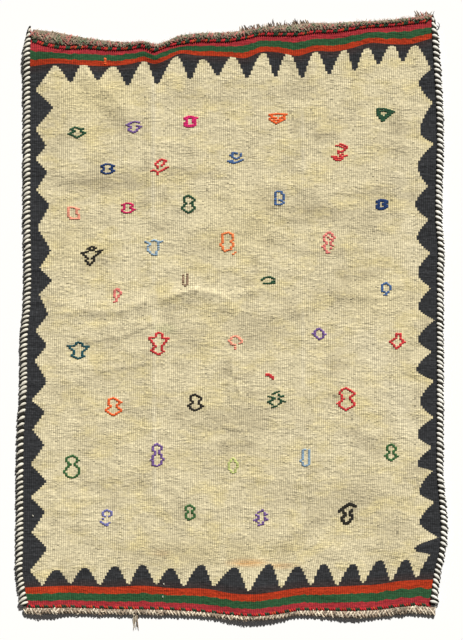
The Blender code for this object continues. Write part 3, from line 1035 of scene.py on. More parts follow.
def lay_copies(name, shape, places, finish, seed, size_spread=0.1, turn_spread=0.08):
    """A plain mesh of many copies of a yarn shape. Each place is its point, turn about Z, size and dye."""
    mesh = bpy.data.meshes.new(name)
    mesh.from_pydata([np.array(at) * METRES for at, *_ in places], [], [])
    turns = [turn if hasattr(turn, "__len__") else (0, 0, turn) for _, turn, _, _ in places]
    sizes = [size for _, _, size, _ in places]
    for attribute, values in (("turn", turns), ("size", sizes)):
        mesh.attributes.new(attribute, "FLOAT_VECTOR", "POINT").data.foreach_set(
            "vector", np.array(values, float).ravel()
        )
    dyes = np.array([dye for *_, dye in places], float).ravel()
    mesh.attributes.new("dye", "FLOAT_COLOR", "POINT").data.foreach_set("color", dyes)
    piece = add_object(name, mesh)
    tree = copies_tree()
    modifier = piece.modifiers.new("Lay copies", "NODES")
    modifier.node_group = tree
    given = {
        "Shape": shape, "Size spread": size_spread, "Turn spread": turn_spread, "Seed": seed, "Finish": finish
    }
    for item in tree.interface.items_tree:
        if item.in_out == "INPUT" and item.name in given:
            modifier[item.identifier] = given[item.name]
    graph = bpy.context.evaluated_depsgraph_get()
    laid = bpy.data.meshes.new_from_object(piece.evaluated_get(graph))
    piece.modifiers.clear()
    piece.data = laid
    laid.name = name
    bpy.data.objects.remove(shape)
    return piece


# Finishes


def wool_shader(material, roughness):
    """The material's tree and its emptied shader, with the dull, slightly furry gloss of wool."""
    material.use_nodes = True
    tree = material.node_tree
    shader = tree.nodes["Principled BSDF"]
    shader.inputs["Roughness"].default_value = roughness
    shader.inputs["Specular IOR Level"].default_value = 0.14
    shader.inputs["Sheen Weight"].default_value = 0.05
    shader.inputs["Sheen Roughness"].default_value = 0.6
    return tree, shader


def yarn_finish():
    """Spun wool that takes its colour from each yarn's own dye, uneven along it and furry."""
    material = bpy.data.materials.get("spun_wool")
    if material:
        return material
    material = bpy.data.materials.new("spun_wool")
    tree, shader = wool_shader(material, 0.92)
    maths = Maths(tree)
    dye = add_node(tree, "ShaderNodeAttribute", attribute_name="dye").outputs["Color"]
    place = add_node(tree, "ShaderNodeTexCoord").outputs["Object"]
    cloudy = add_node(tree, "ShaderNodeTexNoise", {"Vector": place, "Scale": 140.0, "Detail": 3.0})
    fibre = add_node(tree, "ShaderNodeTexNoise", {"Vector": place, "Scale": 900.0, "Detail": 2.0})
    shade = maths("MULTIPLY", maths.ramp(cloudy.outputs["Fac"], 0.3, 0.7, 0.78, 1.16), maths.ramp(fibre.outputs["Fac"], 0.3, 0.7, 0.82, 1.14))
    tone = add_node(tree, "ShaderNodeVectorMath", {0: dye, "Scale": shade}, operation="SCALE").outputs[0]
    tree.links.new(tone, shader.inputs["Base Color"])
    bump = add_node(
        tree, "ShaderNodeBump", {"Strength": 0.6, "Distance": 0.0006, "Height": fibre.outputs["Fac"]}
    )
    tree.links.new(bump.outputs[0], shader.inputs["Normal"])
    return material


def tooth_line(side):
    """Knots of one side of the border in order: share along it, share into the cloth, and half its flat."""
    teeth = side.teeth
    places = (
        (teeth["notch_x"], teeth["notch_y"], side.notch_flat),
        (teeth["tip_x"], teeth["tip_y"], side.tip_flat),
        (side.corners["x"], side.corners["y"], 0.0),
    )
    knots = [
        (along, into, flat)
        for x, y, flat in places
        for along, into in zip(*woven_shares(x, y)[:: 1 if side.runs_across else -1])
    ]
    return sorted(knots)


def curve_node(tree, side):
    """A curve through the border's knots, each knot with a short flat, its flanks bowed as the teeth are."""
    made = tree.nodes.new("ShaderNodeFloatCurve")
    curve = made.mapping.curves[0]
    points = []
    knots = tooth_line(side)
    for k, (place, depth, flat) in enumerate(knots):
        points += [(place - flat, depth), (place + flat, depth)] if flat else [(place, depth)]
        if k + 1 < len(knots):
            following, next_depth, next_flat = knots[k + 1]
            first, last = place + flat, following - next_flat
            for t in (0.33, 0.67):
                bowed = depth + (next_depth - depth) * t + side.bow * abs(next_depth - depth) * 4 * t * (1 - t)
                points.append((first + (last - first) * t, bowed))
    curve.points[0].location = (0.0, points[0][1])
    curve.points[-1].location = (1.0, points[-1][1])
    for point in points:
        if 0.002 < point[0] < 0.998:
            curve.points.new(*map(float, point))
    for point in curve.points:
        point.handle_type = "VECTOR"
    made.mapping.use_clip = False
    made.mapping.update()
    return made


# The border's four sides: which way it runs, where the field lies, half the flat of a notch and of a tip as
# shares of the side's length, and how far the flanks bow
BorderSide = namedtuple("BorderSide", "teeth corners runs_across field_is notch_flat tip_flat bow")
BORDER_SIDES = (
    BorderSide(TOP_TEETH, TOP_CORNERS, True, "LESS_THAN", 0.0066, 0.0044, 0.09),
    BorderSide(BOTTOM_TEETH, BOTTOM_CORNERS, True, "GREATER_THAN", 0.0034, 0.0066, 0.07),
    BorderSide(LEFT_TEETH, LEFT_CORNERS, False, "GREATER_THAN", 0.0016, 0.0016, 0.02),
    BorderSide(RIGHT_TEETH, RIGHT_CORNERS, False, "LESS_THAN", 0.0008, 0.0044, -0.13),
)


def weave_finish(settings):
    """The weft-faced cloth: stepped border, end stripes, uneven cream wool, stains, ribs and weft beads."""
    material = bpy.data.materials.new("kilim_weave")
    tree, shader = wool_shader(material, 0.95)
    maths = Maths(tree)
    shares = add_node(tree, "ShaderNodeSeparateXYZ", (add_node(tree, "ShaderNodeUVMap", uv_map="woven").outputs[0],))
    across, along = shares.outputs[0], shares.outputs[1]
    place = add_node(tree, "ShaderNodeSeparateXYZ", (add_node(tree, "ShaderNodeTexCoord").outputs["Object"],))
    x = maths("DIVIDE", place.outputs[0], METRES)
    y = maths("DIVIDE", place.outputs[1], METRES)

    # The weave: each rib, the groove beside it, and the beads of weft along it
    ribs = maths("MULTIPLY", across, float(settings.ribs))
    rib = maths("FLOOR", ribs)
    off_rib = maths("ABSOLUTE", maths("SUBTRACT", maths("FRACT", ribs), 0.5))
    groove = maths.ramp(off_rib, 0.28, 0.5, 0.0, 1.0, smooth=True)
    bead_count = float(np.ptp(cloth_place(0.5, np.array([0.0, 1.0]))[1])) * METRES / settings.bead_length
    wander = maths("MULTIPLY", maths.noise(maths("MULTIPLY", x, 0.02), maths("MULTIPLY", y, 0.02)), 6.0)
    beads = maths("ADD", maths("MULTIPLY", along, bead_count), maths("ADD", maths("MULTIPLY", rib, 0.5), wander))
    off_bead = maths("ABSOLUTE", maths("SUBTRACT", maths("FRACT", beads), 0.5))

    # Unevenness of the wool: long streaks of one weft, single beads, and wide clouds
    streak = maths.noise(maths("MULTIPLY", x, 0.018), maths("MULTIPLY", y, 0.34), 3.0, 0.6)
    fine_streak = maths.noise(maths("MULTIPLY", x, 0.05), maths("MULTIPLY", y, 0.9), 2.0, 0.5, 5.0)
    bead_tone = maths.noise(maths("MULTIPLY", rib, 0.83), maths("MULTIPLY", y, 0.17), 1.0, 0.5, 9.0)
    speck = maths.noise(maths("MULTIPLY", rib, 1.9), maths("MULTIPLY", y, 0.42), 0.0, 0.5, 21.0)
    cloud = maths.noise(maths("MULTIPLY", x, 0.009), maths("MULTIPLY", y, 0.012), 4.0, 0.6, 13.0)
    # Patches where the painted shade in the grooves shows darker
    groove_shade_patches = maths.noise(maths("MULTIPLY", x, 0.02), maths("MULTIPLY", y, 0.016), 3.0, 0.6, 17.0)
    ripple = maths.noise(maths("MULTIPLY", x, 0.045), maths("MULTIPLY", y, 0.2), 3.0, 0.65, 31.0)
    wrinkled_patches = maths.noise(maths("MULTIPLY", x, 0.014), maths("MULTIPLY", y, 0.03), 3.0, 0.55, 37.0)
    golden = maths.noise(maths("MULTIPLY", x, 0.011), maths("MULTIPLY", y, 0.019), 4.0, 0.65, 43.0)

    # Thin lines of painted shadow under small weft wrinkles, in patches
    wrinkle_lines = maths.noise(maths("MULTIPLY", x, 0.016), maths("MULTIPLY", y, 0.11), 3.0, 0.6, 51.0)
    wrinkle_lines = maths("ABSOLUTE", maths("SUBTRACT", wrinkle_lines, 0.5))
    painted_wrinkle_shadow = maths("MULTIPLY", maths.ramp(wrinkle_lines, 0.014, 0.0), maths.ramp(wrinkled_patches, 0.44, 0.6))

    # The cream field, with the marks that the mesh carries
    marks = add_node(tree, "ShaderNodeAttribute", attribute_name="marks")
    channels = add_node(tree, "ShaderNodeSeparateColor", (marks.outputs["Color"],)).outputs
    # The marks' first channel holds greyer patches and narrow painted shade along the creases
    worn = maths("MAXIMUM", channels[0], maths.ramp(cloud, 0.5, 0.72, 0.0, 0.75))
    worn = maths("MULTIPLY", worn, maths.ramp(streak, 0.34, 0.6, 0.35, 1.25), clamp=True)
    yellowed = maths("MAXIMUM", channels[1], maths.ramp(golden, 0.48, 0.66, 0.0, 1.0))
    yellowed = maths("MULTIPLY", yellowed, maths.ramp(fine_streak, 0.3, 0.6, 0.4, 1.0), clamp=True)
    field = maths.mix(worn, (*settings.cream, 1), (*settings.worn, 1))
    field = maths.mix(yellowed, field, (*settings.yellow, 1))
    # Painted highlight along the fold crests, and pale patches
    rubbed = add_node(tree, "ShaderNodeAttribute", attribute_name="rubbed").outputs["Fac"]
    field = maths.mix(maths("MULTIPLY", rubbed, 0.3), field, (*settings.rubbed, 1))
    peach = maths("MULTIPLY", channels[2], maths.ramp(streak, 0.3, 0.6, 0.5, 1.0))
    field = maths.mix(peach, field, (*settings.peach, 1))
    field = maths.mix(marks.outputs["Alpha"], field, (*settings.moss, 1))
    field_shade = maths("MULTIPLY", maths.ramp(streak, 0.3, 0.72, 0.9, 1.08), maths.ramp(fine_streak, 0.28, 0.72, 0.92, 1.08))
    field_shade = maths("MULTIPLY", field_shade, maths.ramp(bead_tone, 0.25, 0.75, 0.8, 1.2))
    field_shade = maths("MULTIPLY", field_shade, maths.ramp(speck, 0.2, 0.36, 0.4, 1.0))
    # Painted shadow of the small weft wrinkles darkens the field along thin lines
    field_shade = maths("MULTIPLY", field_shade, maths("SUBTRACT", 1.0, maths("MULTIPLY", painted_wrinkle_shadow, 0.25)))

    # The stepped border: its steps are one rib wide
    middle_of_rib = maths("DIVIDE", maths("ADD", rib, 0.5), float(settings.ribs))
    inside = None
    for side in BORDER_SIDES:
        line = curve_node(tree, side)
        tree.links.new(middle_of_rib if side.runs_across else along, line.inputs["Value"])
        one = maths(side.field_is, along if side.runs_across else middle_of_rib, line.outputs[0])
        inside = one if inside is None else maths("MULTIPLY", inside, one)
    dark_shade = maths("MULTIPLY", maths.ramp(streak, 0.3, 0.7, 0.6, 1.5), maths.ramp(bead_tone, 0.25, 0.75, 0.65, 1.45))

    # The stripes at both ends
    from_end = maths("DIVIDE", maths("MINIMUM", along, maths("SUBTRACT", 1.0, along)), BAND_SHARE)
    wobble = maths.ramp(maths.noise(maths("MULTIPLY", x, 0.05), maths("MULTIPLY", y, 0.003), 2.0), 0.3, 0.7, -0.045, 0.045)
    stripe_place = maths("ADD", from_end, wobble)
    crimson_ends = maths("ADD", maths("MULTIPLY", maths("GREATER_THAN", along, 0.5), 0.07), 0.33)
    stripes = maths.mix(maths("GREATER_THAN", stripe_place, crimson_ends), (*settings.crimson, 1), (*settings.green, 1))
    green_ends = maths("ADD", maths("MULTIPLY", maths("GREATER_THAN", along, 0.5), 0.05), 0.68)
    stripes = maths.mix(maths("GREATER_THAN", stripe_place, green_ends), stripes, (*settings.orange, 1))
    stripe_shade = maths("MULTIPLY", maths.ramp(bead_tone, 0.25, 0.75, 0.72, 1.3), maths.ramp(streak, 0.3, 0.7, 0.85, 1.15))

    dark = maths.mix(maths.ramp(from_end, 1.4, 1.0, 0.0, 0.8), (*settings.charcoal, 1), (*settings.brown, 1))
    colour = maths.mix(inside, dark, field)
    shade = maths("ADD", maths("MULTIPLY", inside, field_shade), maths("MULTIPLY", maths("SUBTRACT", 1.0, inside), dark_shade))
    banded = maths("LESS_THAN", from_end, 1.0)
    colour = maths.mix(banded, colour, stripes)
    shade = maths("ADD", maths("MULTIPLY", banded, stripe_shade), maths("MULTIPLY", maths("SUBTRACT", 1.0, banded), shade))
    # Painted shade in the grooves between the ribs, darker in patches
    painted_groove_shade = maths("MULTIPLY", groove, maths.ramp(groove_shade_patches, 0.35, 0.65, 0.22, 0.62))
    shade = maths("MULTIPLY", shade, maths("SUBTRACT", 1.0, painted_groove_shade))
    toned = add_node(tree, "ShaderNodeVectorMath", {0: colour, "Scale": shade}, operation="SCALE").outputs[0]
    tree.links.new(toned, shader.inputs["Base Color"])

    # Relief in millimetres
    rounded_rib = maths("SUBTRACT", 1.0, maths("MULTIPLY", maths("MULTIPLY", off_rib, off_rib), 4.0))
    rounded_bead = maths("SUBTRACT", 1.0, maths("MULTIPLY", maths("MULTIPLY", off_bead, off_bead), 4.0))
    relief = maths("ADD", maths("MULTIPLY", rounded_rib, 0.5), maths("MULTIPLY", rounded_bead, 0.32))
    relief = maths("ADD", relief, maths("MULTIPLY", streak, 0.7))
    relief = maths("ADD", relief, maths("MULTIPLY", bead_tone, 0.6))
    relief = maths("ADD", relief, maths("MULTIPLY", ripple, maths.ramp(wrinkled_patches, 0.42, 0.66, 0.6, 3.6)))
    bump = add_node(tree, "ShaderNodeBump", {"Strength": 0.8, "Distance": METRES, "Height": relief})
    tree.links.new(bump.outputs[0], shader.inputs["Normal"])
    return material


def cloth_mesh(settings):
    """The woven sheet: ribs on top, plain below, closed all round, with its woven shares as a UV map."""
    columns, rows = settings.ribs * 2, settings.rows
    under_columns, under_rows = columns // 4, rows // 5
    across = np.linspace(0, 1, columns + 1)
    along = np.linspace(0, 1, rows + 1)[:, None]
    x, y = cloth_place(across, along)
    grooves = np.where(np.arange(columns + 1) % 2 == 0, settings.rib_depth / METRES, 0.0)
    top = np.stack([x, y, cloth_top(x, y) - grooves], axis=2)
    under = np.stack([x, y, cloth_height(x, y)], axis=2)[::5, ::4]
    points = np.concatenate([top.reshape(-1, 3), under.reshape(-1, 3)]) * METRES
    shares = np.stack(np.broadcast_arrays(across, along), axis=2)
    shares = np.concatenate([shares.reshape(-1, 2), shares[::5, ::4].reshape(-1, 2)])
    # The first channel holds greyer patches and narrow painted shade along the creases
    marks = np.stack([marked(kind, x, y) for kind in (GREYED_AND_CREASE_SHADE, YELLOWED, PEACH_STAIN, GREEN_STAIN)], axis=2)
    marks = np.concatenate([marks.reshape(-1, 4), marks[::5, ::4].reshape(-1, 4)])

    def over(i, j):
        return i * (columns + 1) + j

    def below(i, j):
        return (rows + 1) * (columns + 1) + i * (under_columns + 1) + j

    faces = [
        (over(i, j), over(i, j + 1), over(i + 1, j + 1), over(i + 1, j))
        for i in range(rows)
        for j in range(columns)
    ]
    faces += [
        (below(i, j), below(i + 1, j), below(i + 1, j + 1), below(i, j + 1))
        for i in range(under_rows)
        for j in range(under_columns)
    ]
    for j in range(under_columns):
        near = [over(0, j * 4 + k) for k in range(4, -1, -1)]
        far = [over(rows, j * 4 + k) for k in range(5)]
        faces.append((below(0, j), below(0, j + 1), *near))
        faces.append((below(under_rows, j + 1), below(under_rows, j), *far))
    for i in range(under_rows):
        left = [over(i * 5 + k, 0) for k in range(6)]
        right = [over(i * 5 + k, columns) for k in range(5, -1, -1)]
        faces.append((below(i + 1, 0), below(i, 0), *left))
        faces.append((below(i, under_columns), below(i + 1, under_columns), *right))
    mesh = bpy.data.meshes.new("cloth_woven")
    mesh.from_pydata(points, [], faces)
    corner_points = np.empty(len(mesh.loops), np.int32)
    mesh.loops.foreach_get("vertex_index", corner_points)
    mesh.uv_layers.new(name="woven").data.foreach_set("uv", shares[corner_points].ravel())
    mesh.attributes.new("marks", "FLOAT_COLOR", "POINT").data.foreach_set("color", marks.ravel())
    # Painted highlight along the fold crests, and pale patches
    rubbed = lift(x, y, HIGHLIT_FOLDS_AND_PALE_PATCHES)
    rubbed = np.concatenate([rubbed.ravel(), rubbed[::5, ::4].ravel()])
    mesh.attributes.new("rubbed", "FLOAT", "POINT").data.foreach_set("value", rubbed)
    mesh.shade_smooth()
    mesh.set_sharp_from_angle(angle=math.radians(60))
    return mesh


def edge_line(side, y):
    """X of the line that the wraps of one side follow: the cloth's edge, drawn in round the bottom corner."""
    low = SIDES["along"][0]
    drawn_in = 13.0 * np.clip(1 - (y - low) / 55, 0.0, 1.0) ** 2
    return read(SIDES, side, y) + (drawn_in if side == "left" else -0.5 * drawn_in)


def end_places(end, share):
    """Of one end at a share of its width: X, the cloth's own edge and the plait's outer edge there."""
    x, inner = cloth_place(share, 1.0 if end is TOP_END else 0.0)
    return float(x), float(inner), float(end_line(end, "plait", share)[0])


class KILIM_OT_weave_cloth(bpy.types.Operator):
    """Weave the cloth: ribs, stepped border, stripes and folds"""

    bl_idname = "kilim.weave_cloth"
    bl_label = "Weave cloth"

    def execute(self, context):
        settings = context.scene.kilim.cloth
        mesh = cloth_mesh(settings)
        mesh.materials.append(weave_finish(settings))
        cloth = settle(add_object("cloth_woven", mesh), "cloth_wool", "cloth")
        x, y = cloth_place(0.5, np.array([0.0, 1.0]))
        return {"FINISHED"}


class KILIM_OT_overcast_sides(bpy.types.Operator):
    """Wrap both long sides with pale and dark yarn in turn"""

    bl_idname = "kilim.overcast_sides"
    bl_label = "Overcast sides"

    def execute(self, context):
        settings = context.scene.kilim.edges
        finish = yarn_finish()
        for side, outwards in (("left", -1), ("right", 1)):
            settle(self.side(side, outwards, settings, finish), "overcast_wool", "selvedge_" + side)
        return {"FINISHED"}

    def wrap(self, outwards, settings):
        """One wrap: a loop of yarn round the edge, lower and thinner the further out it runs."""
        height = settings.wrap_height / METRES
        angles = np.arange(12) * math.tau / 12
        out = CORD_WIDTH / 2 * (1 - np.cos(angles) * 0.97)
        over = np.sin(angles) > 0
        up = 1.5 + height * 0.34 + (height * 0.5 - 1.3) * np.sin(angles) * np.where(over, 1.0, 0.9)
        drop = -settings.wrap_slant * out * (0.2 + 0.8 * out / CORD_WIDTH)
        line = np.stack([outwards * out, drop, up], axis=1)
        half = settings.wrap_width / METRES / 2 * np.where(over, 1.25 - 0.8 * (2 * out / CORD_WIDTH - 0.7) ** 2, 0.8)
        if outwards > 0:
            line, half = line[::-1], half[::-1]
        return tube(line, half, 1.3, 6, wide_axis=(0.0, 1.0, 0.0), closed=True)

    def side(self, side, outwards, settings, finish):
        uneven = random.Random("wraps " + side)
        low = float(cloth_place(0.0 if side == "left" else 1.0, 0.0)[1])
        top = CORD_TOP[side]
        pale, dark = linear("pale_wrap" if side == "left" else "white_wrap"), linear("dark_wrap")
        places = []
        y = low + 13.0
        while y < top - 6.0:
            pitch = float(np.interp(y, WRAP_PITCH["along"], WRAP_PITCH[side])) * uneven.uniform(0.9, 1.1)
            pale_width = settings.wrap_width / METRES
            for step, dye, share in ((0.0, pale, 1.0), (pitch / 2, dark, min(1.15, (pitch - pale_width * 0.75) / pale_width))):
                at = y + step
                edge = float(edge_line(side, at))
                slope = float(edge_line(side, at + 5) - edge_line(side, at - 5))
                size = min(1.0, 0.45 + 0.55 * (top - at) / 45) * (1.15 if at - low < 30 else 1.0)
                curl = outwards * 0.75 * max(0.0, 1 - (at - low) / 30)
                height = size * (1.0 if dye is pale else 0.88)
                floor = float(cloth_height(edge, at))
                places.append(
                    (
                        (edge + uneven.uniform(-0.5, 0.5), at + uneven.uniform(-0.5, 0.5), floor),
                        curl - math.atan2(slope, 10.0),
                        (size * uneven.uniform(0.93, 1.05), share * uneven.uniform(0.85, 1.15), height),
                        tuple(np.array(dye) * uneven.uniform(0.8, 1.06)),
                    )
                )
            y += pitch
        at = np.linspace(low + 8, top - 8, 180)
        edges = edge_line(side, at)
        line = np.stack([edges + outwards * 7.2, at - 4.0, cloth_height(edges, at) + 3.6], axis=1)
        core = tube(line, 5.6 * np.clip((top - at) / 40, 0.3, 1.0), 2.4, 8)
        points, faces = self.wrap(outwards, settings)
        shape = yarn_shape("wrap_shape", points, faces)
        wraps = lay_copies("wraps_" + side, shape, places, finish, 3 if side == "left" else 5, 0.03, 0.03)
        return join("overcast_" + side, [wraps, yarn_object("core", [(*core, dark)], finish)])


class KILIM_OT_plait_ends(bpy.types.Operator):
    """Plait the warp ends along the top and the bottom of the cloth"""

    bl_idname = "kilim.plait_ends"
    bl_label = "Plait ends"

    def execute(self, context):
        settings = context.scene.kilim.edges
        finish = yarn_finish()
        for name, end in (("plait_top", TOP_END), ("plait_bottom", BOTTOM_END)):
            settle(self.plait(name, end, settings, finish), "plait_wool", name)
        return {"FINISHED"}

    def plait(self, name, end, settings, finish):
        uneven = random.Random(name)
        top = end is TOP_END
        dyes = (
            ("plait_beige", "plait_beige", "plait_taupe", "plait_grey", "plait_pink", "plait_pink", "plait_moss", "plait_moss")
            if top
            else ("plait_pale", "plait_beige", "plait_pale", "plait_pale", "plait_beige", "plait_grey")
        )
        outwards = 1.0 if top else -1.0
        pitch = settings.plait_pitch / METRES
        x0, x1 = end_places(end, 0.0)[0], end_places(end, 1.0)[0]
        if not top:
            x0, x1 = x0 - PLAIT_OVERHANG["left"] - 2, x1 + PLAIT_OVERHANG["right"] - 4
        turned = 20 if top else 7
        places, spine, hairs = [], [], []
        count = int((x1 - x0) / pitch)
        for k in range(count + 1):
            at = x0 + (k + 0.5) * pitch if k < count else x1
            share = min(1.0, max(0.0, (at - end_places(end, 0.0)[0]) / (end_places(end, 1.0)[0] - end_places(end, 0.0)[0])))
            _, inner, outer = end_places(end, share)
            width = abs(outer - inner)
            floor = float(cloth_height(at, inner))
            spine.append((at, inner, outer, floor))
            if k == count:
                break
            for layer, (slant, into, reach, thick, tall) in enumerate(
                ((58, 0.54, 0.84, 4.2, 7.6), (122, 0.46, 0.80, 4.0, 7.4))
            ):
                length = width * reach / math.sin(math.radians(slant))
                tone = tuple(np.array(linear(uneven.choice(dyes))) * uneven.uniform(0.75, 1.2))
                y = inner + outwards * width * into
                places.append(
                    (
                        (at + layer * pitch / 2 + uneven.uniform(-0.8, 0.8), y + uneven.uniform(-0.8, 0.8), floor + tall * 0.5),
                        math.radians(slant * outwards + uneven.uniform(-turned, turned)),
                        (max(length, 6.0) * uneven.uniform(0.85, 1.1), thick * uneven.uniform(0.8, 1.25), tall),
                        tone,
                    )
                )
        # A lumpy band under the strands, so that no floor shows between them
        spine = np.array(spine)
        line = np.stack([spine[:, 0], (spine[:, 1] + spine[:, 2]) / 2, spine[:, 3] + 3.0], axis=1)
        wide = np.maximum(np.abs(spine[:, 2] - spine[:, 1]) / 2 - 0.8, 2.0)
        core = tube(line, wide, 2.8, 8)
        strand = tube([(s, 0, 0) for s in (-0.5, -0.38, -0.15, 0.15, 0.38, 0.5)], (0.16, 0.4, 0.5, 0.5, 0.4, 0.16),
                      (0.16, 0.4, 0.5, 0.5, 0.4, 0.16), 8)
        for _ in range(int(len(places) * settings.hair_share * (1.0 if top else 0.3))):
            places.append(self.fibre(uneven, end, dyes))
        shape = yarn_shape("strand_shape", *strand)
        strands = lay_copies(name + "_strands", shape, places, finish, 17 if top else 23, 0.08, 0.12)
        dark = linear("plait_grey")
        for _ in range(int(len(places) * settings.hair_share / 2) if top else 0):
            hairs.append(self.hair(uneven, end, outwards, dyes))
        return join(name + "_yarn", [strands, yarn_object("core", [(*core, dark)] + hairs, finish)])

    def fibre(self, uneven, end, dyes):
        """One short fibre that lies anyhow on the plait."""
        x, inner, outer = end_places(end, uneven.uniform(0.0, 1.0))
        y = inner + (outer - inner) * uneven.uniform(0.08, 0.97)
        centred = 1 - abs((y - inner) / (outer - inner) - 0.5) * 1.2
        z = float(cloth_height(x, inner)) + 3.2 + 4.6 * max(0.1, centred)
        tone = tuple(np.array(linear(uneven.choice(dyes))) * uneven.uniform(0.7, 1.15))
        return ((x, y, z), uneven.uniform(-math.pi, math.pi), (uneven.uniform(4, 8), 1.9, 1.7), tone)

    def hair(self, uneven, end, outwards, dyes):
        """One loose fibre that stands out of the plait's outer edge."""
        x, inner, outer = end_places(end, uneven.uniform(0.0, 1.0))
        floor = float(cloth_height(x, inner))
        y = inner + (outer - inner) * uneven.uniform(0.5, 0.95)
        length, lean = uneven.uniform(3, 8), uneven.uniform(-1.3, 1.3)
        height = floor + uneven.uniform(3.0, PLAIT_HEIGHT * 0.75)
        line = [
            (x + lean * length * s + uneven.uniform(-0.6, 0.6), y + outwards * length * s, max(0.4, height * (1 - 0.7 * s)))
            for s in (0.0, 0.4, 0.75, 1.0)
        ]
        return (*tube(line, (0.32, 0.3, 0.24, 0.12), (0.32, 0.3, 0.24, 0.12), 3), linear(uneven.choice(dyes)))


class KILIM_OT_twine_ends(bpy.types.Operator):
    """Twine a row of red and green yarn over each end of the cloth"""

    bl_idname = "kilim.twine_ends"
    bl_label = "Twine ends"

    def execute(self, context):
        settings = context.scene.kilim.edges
        finish = yarn_finish()
        uneven = random.Random("twine")
        places = []
        pitch = settings.twine_pitch / METRES
        for end, outwards, size, into, run in (
            (TOP_END, 1.0, (9.5, 5.4, 3.6), 2.6, 5),
            (BOTTOM_END, -1.0, (8.2, 4.8, 3.2), 3.0, 5),
        ):
            x0, x1 = end_places(end, 0.0)[0], end_places(end, 1.0)[0]
            count = int((x1 - x0 - 10) / pitch)
            turn_of_colour = 0
            for k in range(count):
                share = (5 + (k + 0.5) * pitch) / (x1 - x0)
                x, inner, _ = end_places(end, share)
                y = inner - outwards * into
                green = turn_of_colour % run < 2
                turn_of_colour += 1 if uneven.random() < 0.9 else 2
                tone = linear("band_green" if green else uneven.choice(("band_red", "band_red", "band_red", "band_orange")))
                tone = tuple(np.array(tone) * uneven.uniform(0.6, 1.15))
                z = float(cloth_top(x, y)) + 0.6
                places.append(((x, y + uneven.uniform(-0.6, 0.6), z), math.radians(58 * outwards), size, tone))
        strand = tube([(s, 0, 0) for s in (-0.5, -0.35, 0.0, 0.35, 0.5)], (0.14, 0.42, 0.5, 0.42, 0.14),
                      (0.14, 0.42, 0.5, 0.42, 0.14), 6)
        shape = yarn_shape("twine_shape", *strand)
        settle(lay_copies("twined_rows", shape, places, finish, 31, 0.06, 0.1), "cloth_wool")
        return {"FINISHED"}


class KILIM_OT_stitch_figures(bpy.types.Operator):
    """Stitch the small figures into the field"""

    bl_idname = "kilim.stitch_figures"
    bl_label = "Stitch figures"

    def execute(self, context):
        settings = context.scene.kilim.figures
        finish = yarn_finish()
        uneven = random.Random("figures")
        size = tuple(value / METRES for value in (settings.stitch_length, settings.stitch_width, settings.stitch_rise))
        spacing = settings.spacing / METRES
        places = []
        for figure in FIGURES:
            half = np.array([figure.width - size[0] * 0.6, figure.height - size[1]]) / 2
            for stroke in FORMS[figure.form]:
                corners = np.array(stroke, float) * half
                for row in range(figure.rows):
                    places += self.stitches(figure, corners, row, size, spacing, context.scene.kilim.cloth.ribs, uneven)
        stitch = tube([(s, 0, 0) for s in (-0.5, -0.34, 0.0, 0.34, 0.5)], (0.2, 0.44, 0.5, 0.44, 0.2),
                      (0.1, 0.4, 0.5, 0.4, 0.1), 6)
        shape = yarn_shape("stitch_shape", *stitch)
        settle(lay_copies("stitched_figures", shape, places, finish, 41, 0.08, 0.1), "cloth_wool")
        return {"FINISHED"}

    def stitches(self, figure, corners, row, size, spacing, ribs, uneven):
        """Places of the stitches along one stroke, each over one rib, worn ones left out."""
        steps = np.hypot(*np.diff(corners, axis=0).T)
        run = np.concatenate([[0.0], np.cumsum(steps)])
        count = max(2, int(round(run[-1] / spacing)))
        places = []
        for distance in np.linspace(0, run[-1], count):
            if uneven.random() < figure.worn:
                continue
            off_x = np.interp(distance, run, corners[:, 0])
            off_y = np.interp(distance, run, corners[:, 1]) - row * size[1] * 0.75
            x, y = figure.x + off_x, figure.y + off_y
            k = min(len(steps) - 1, int(np.searchsorted(run, distance, side="right")) - 1)
            run_x, run_y = corners[k + 1] - corners[k]
            slope = math.atan2(run_y * math.copysign(1, run_x), abs(run_x))
            turn = max(-0.3, min(0.3, slope * 0.25))
            across = float(woven_shares(np.array([x]), np.array([y]))[0][0])
            x += ((math.floor(across * ribs) + 0.5) / ribs - across) * (SIDES["right"][0] - SIDES["left"][0])
            z = float(cloth_top(x, y)) + 0.1
            tone = tuple(np.array(linear(figure.dye)) * uneven.uniform(0.8, 1.2))
            places.append(((x, y, z), turn, size, tone))
        return places


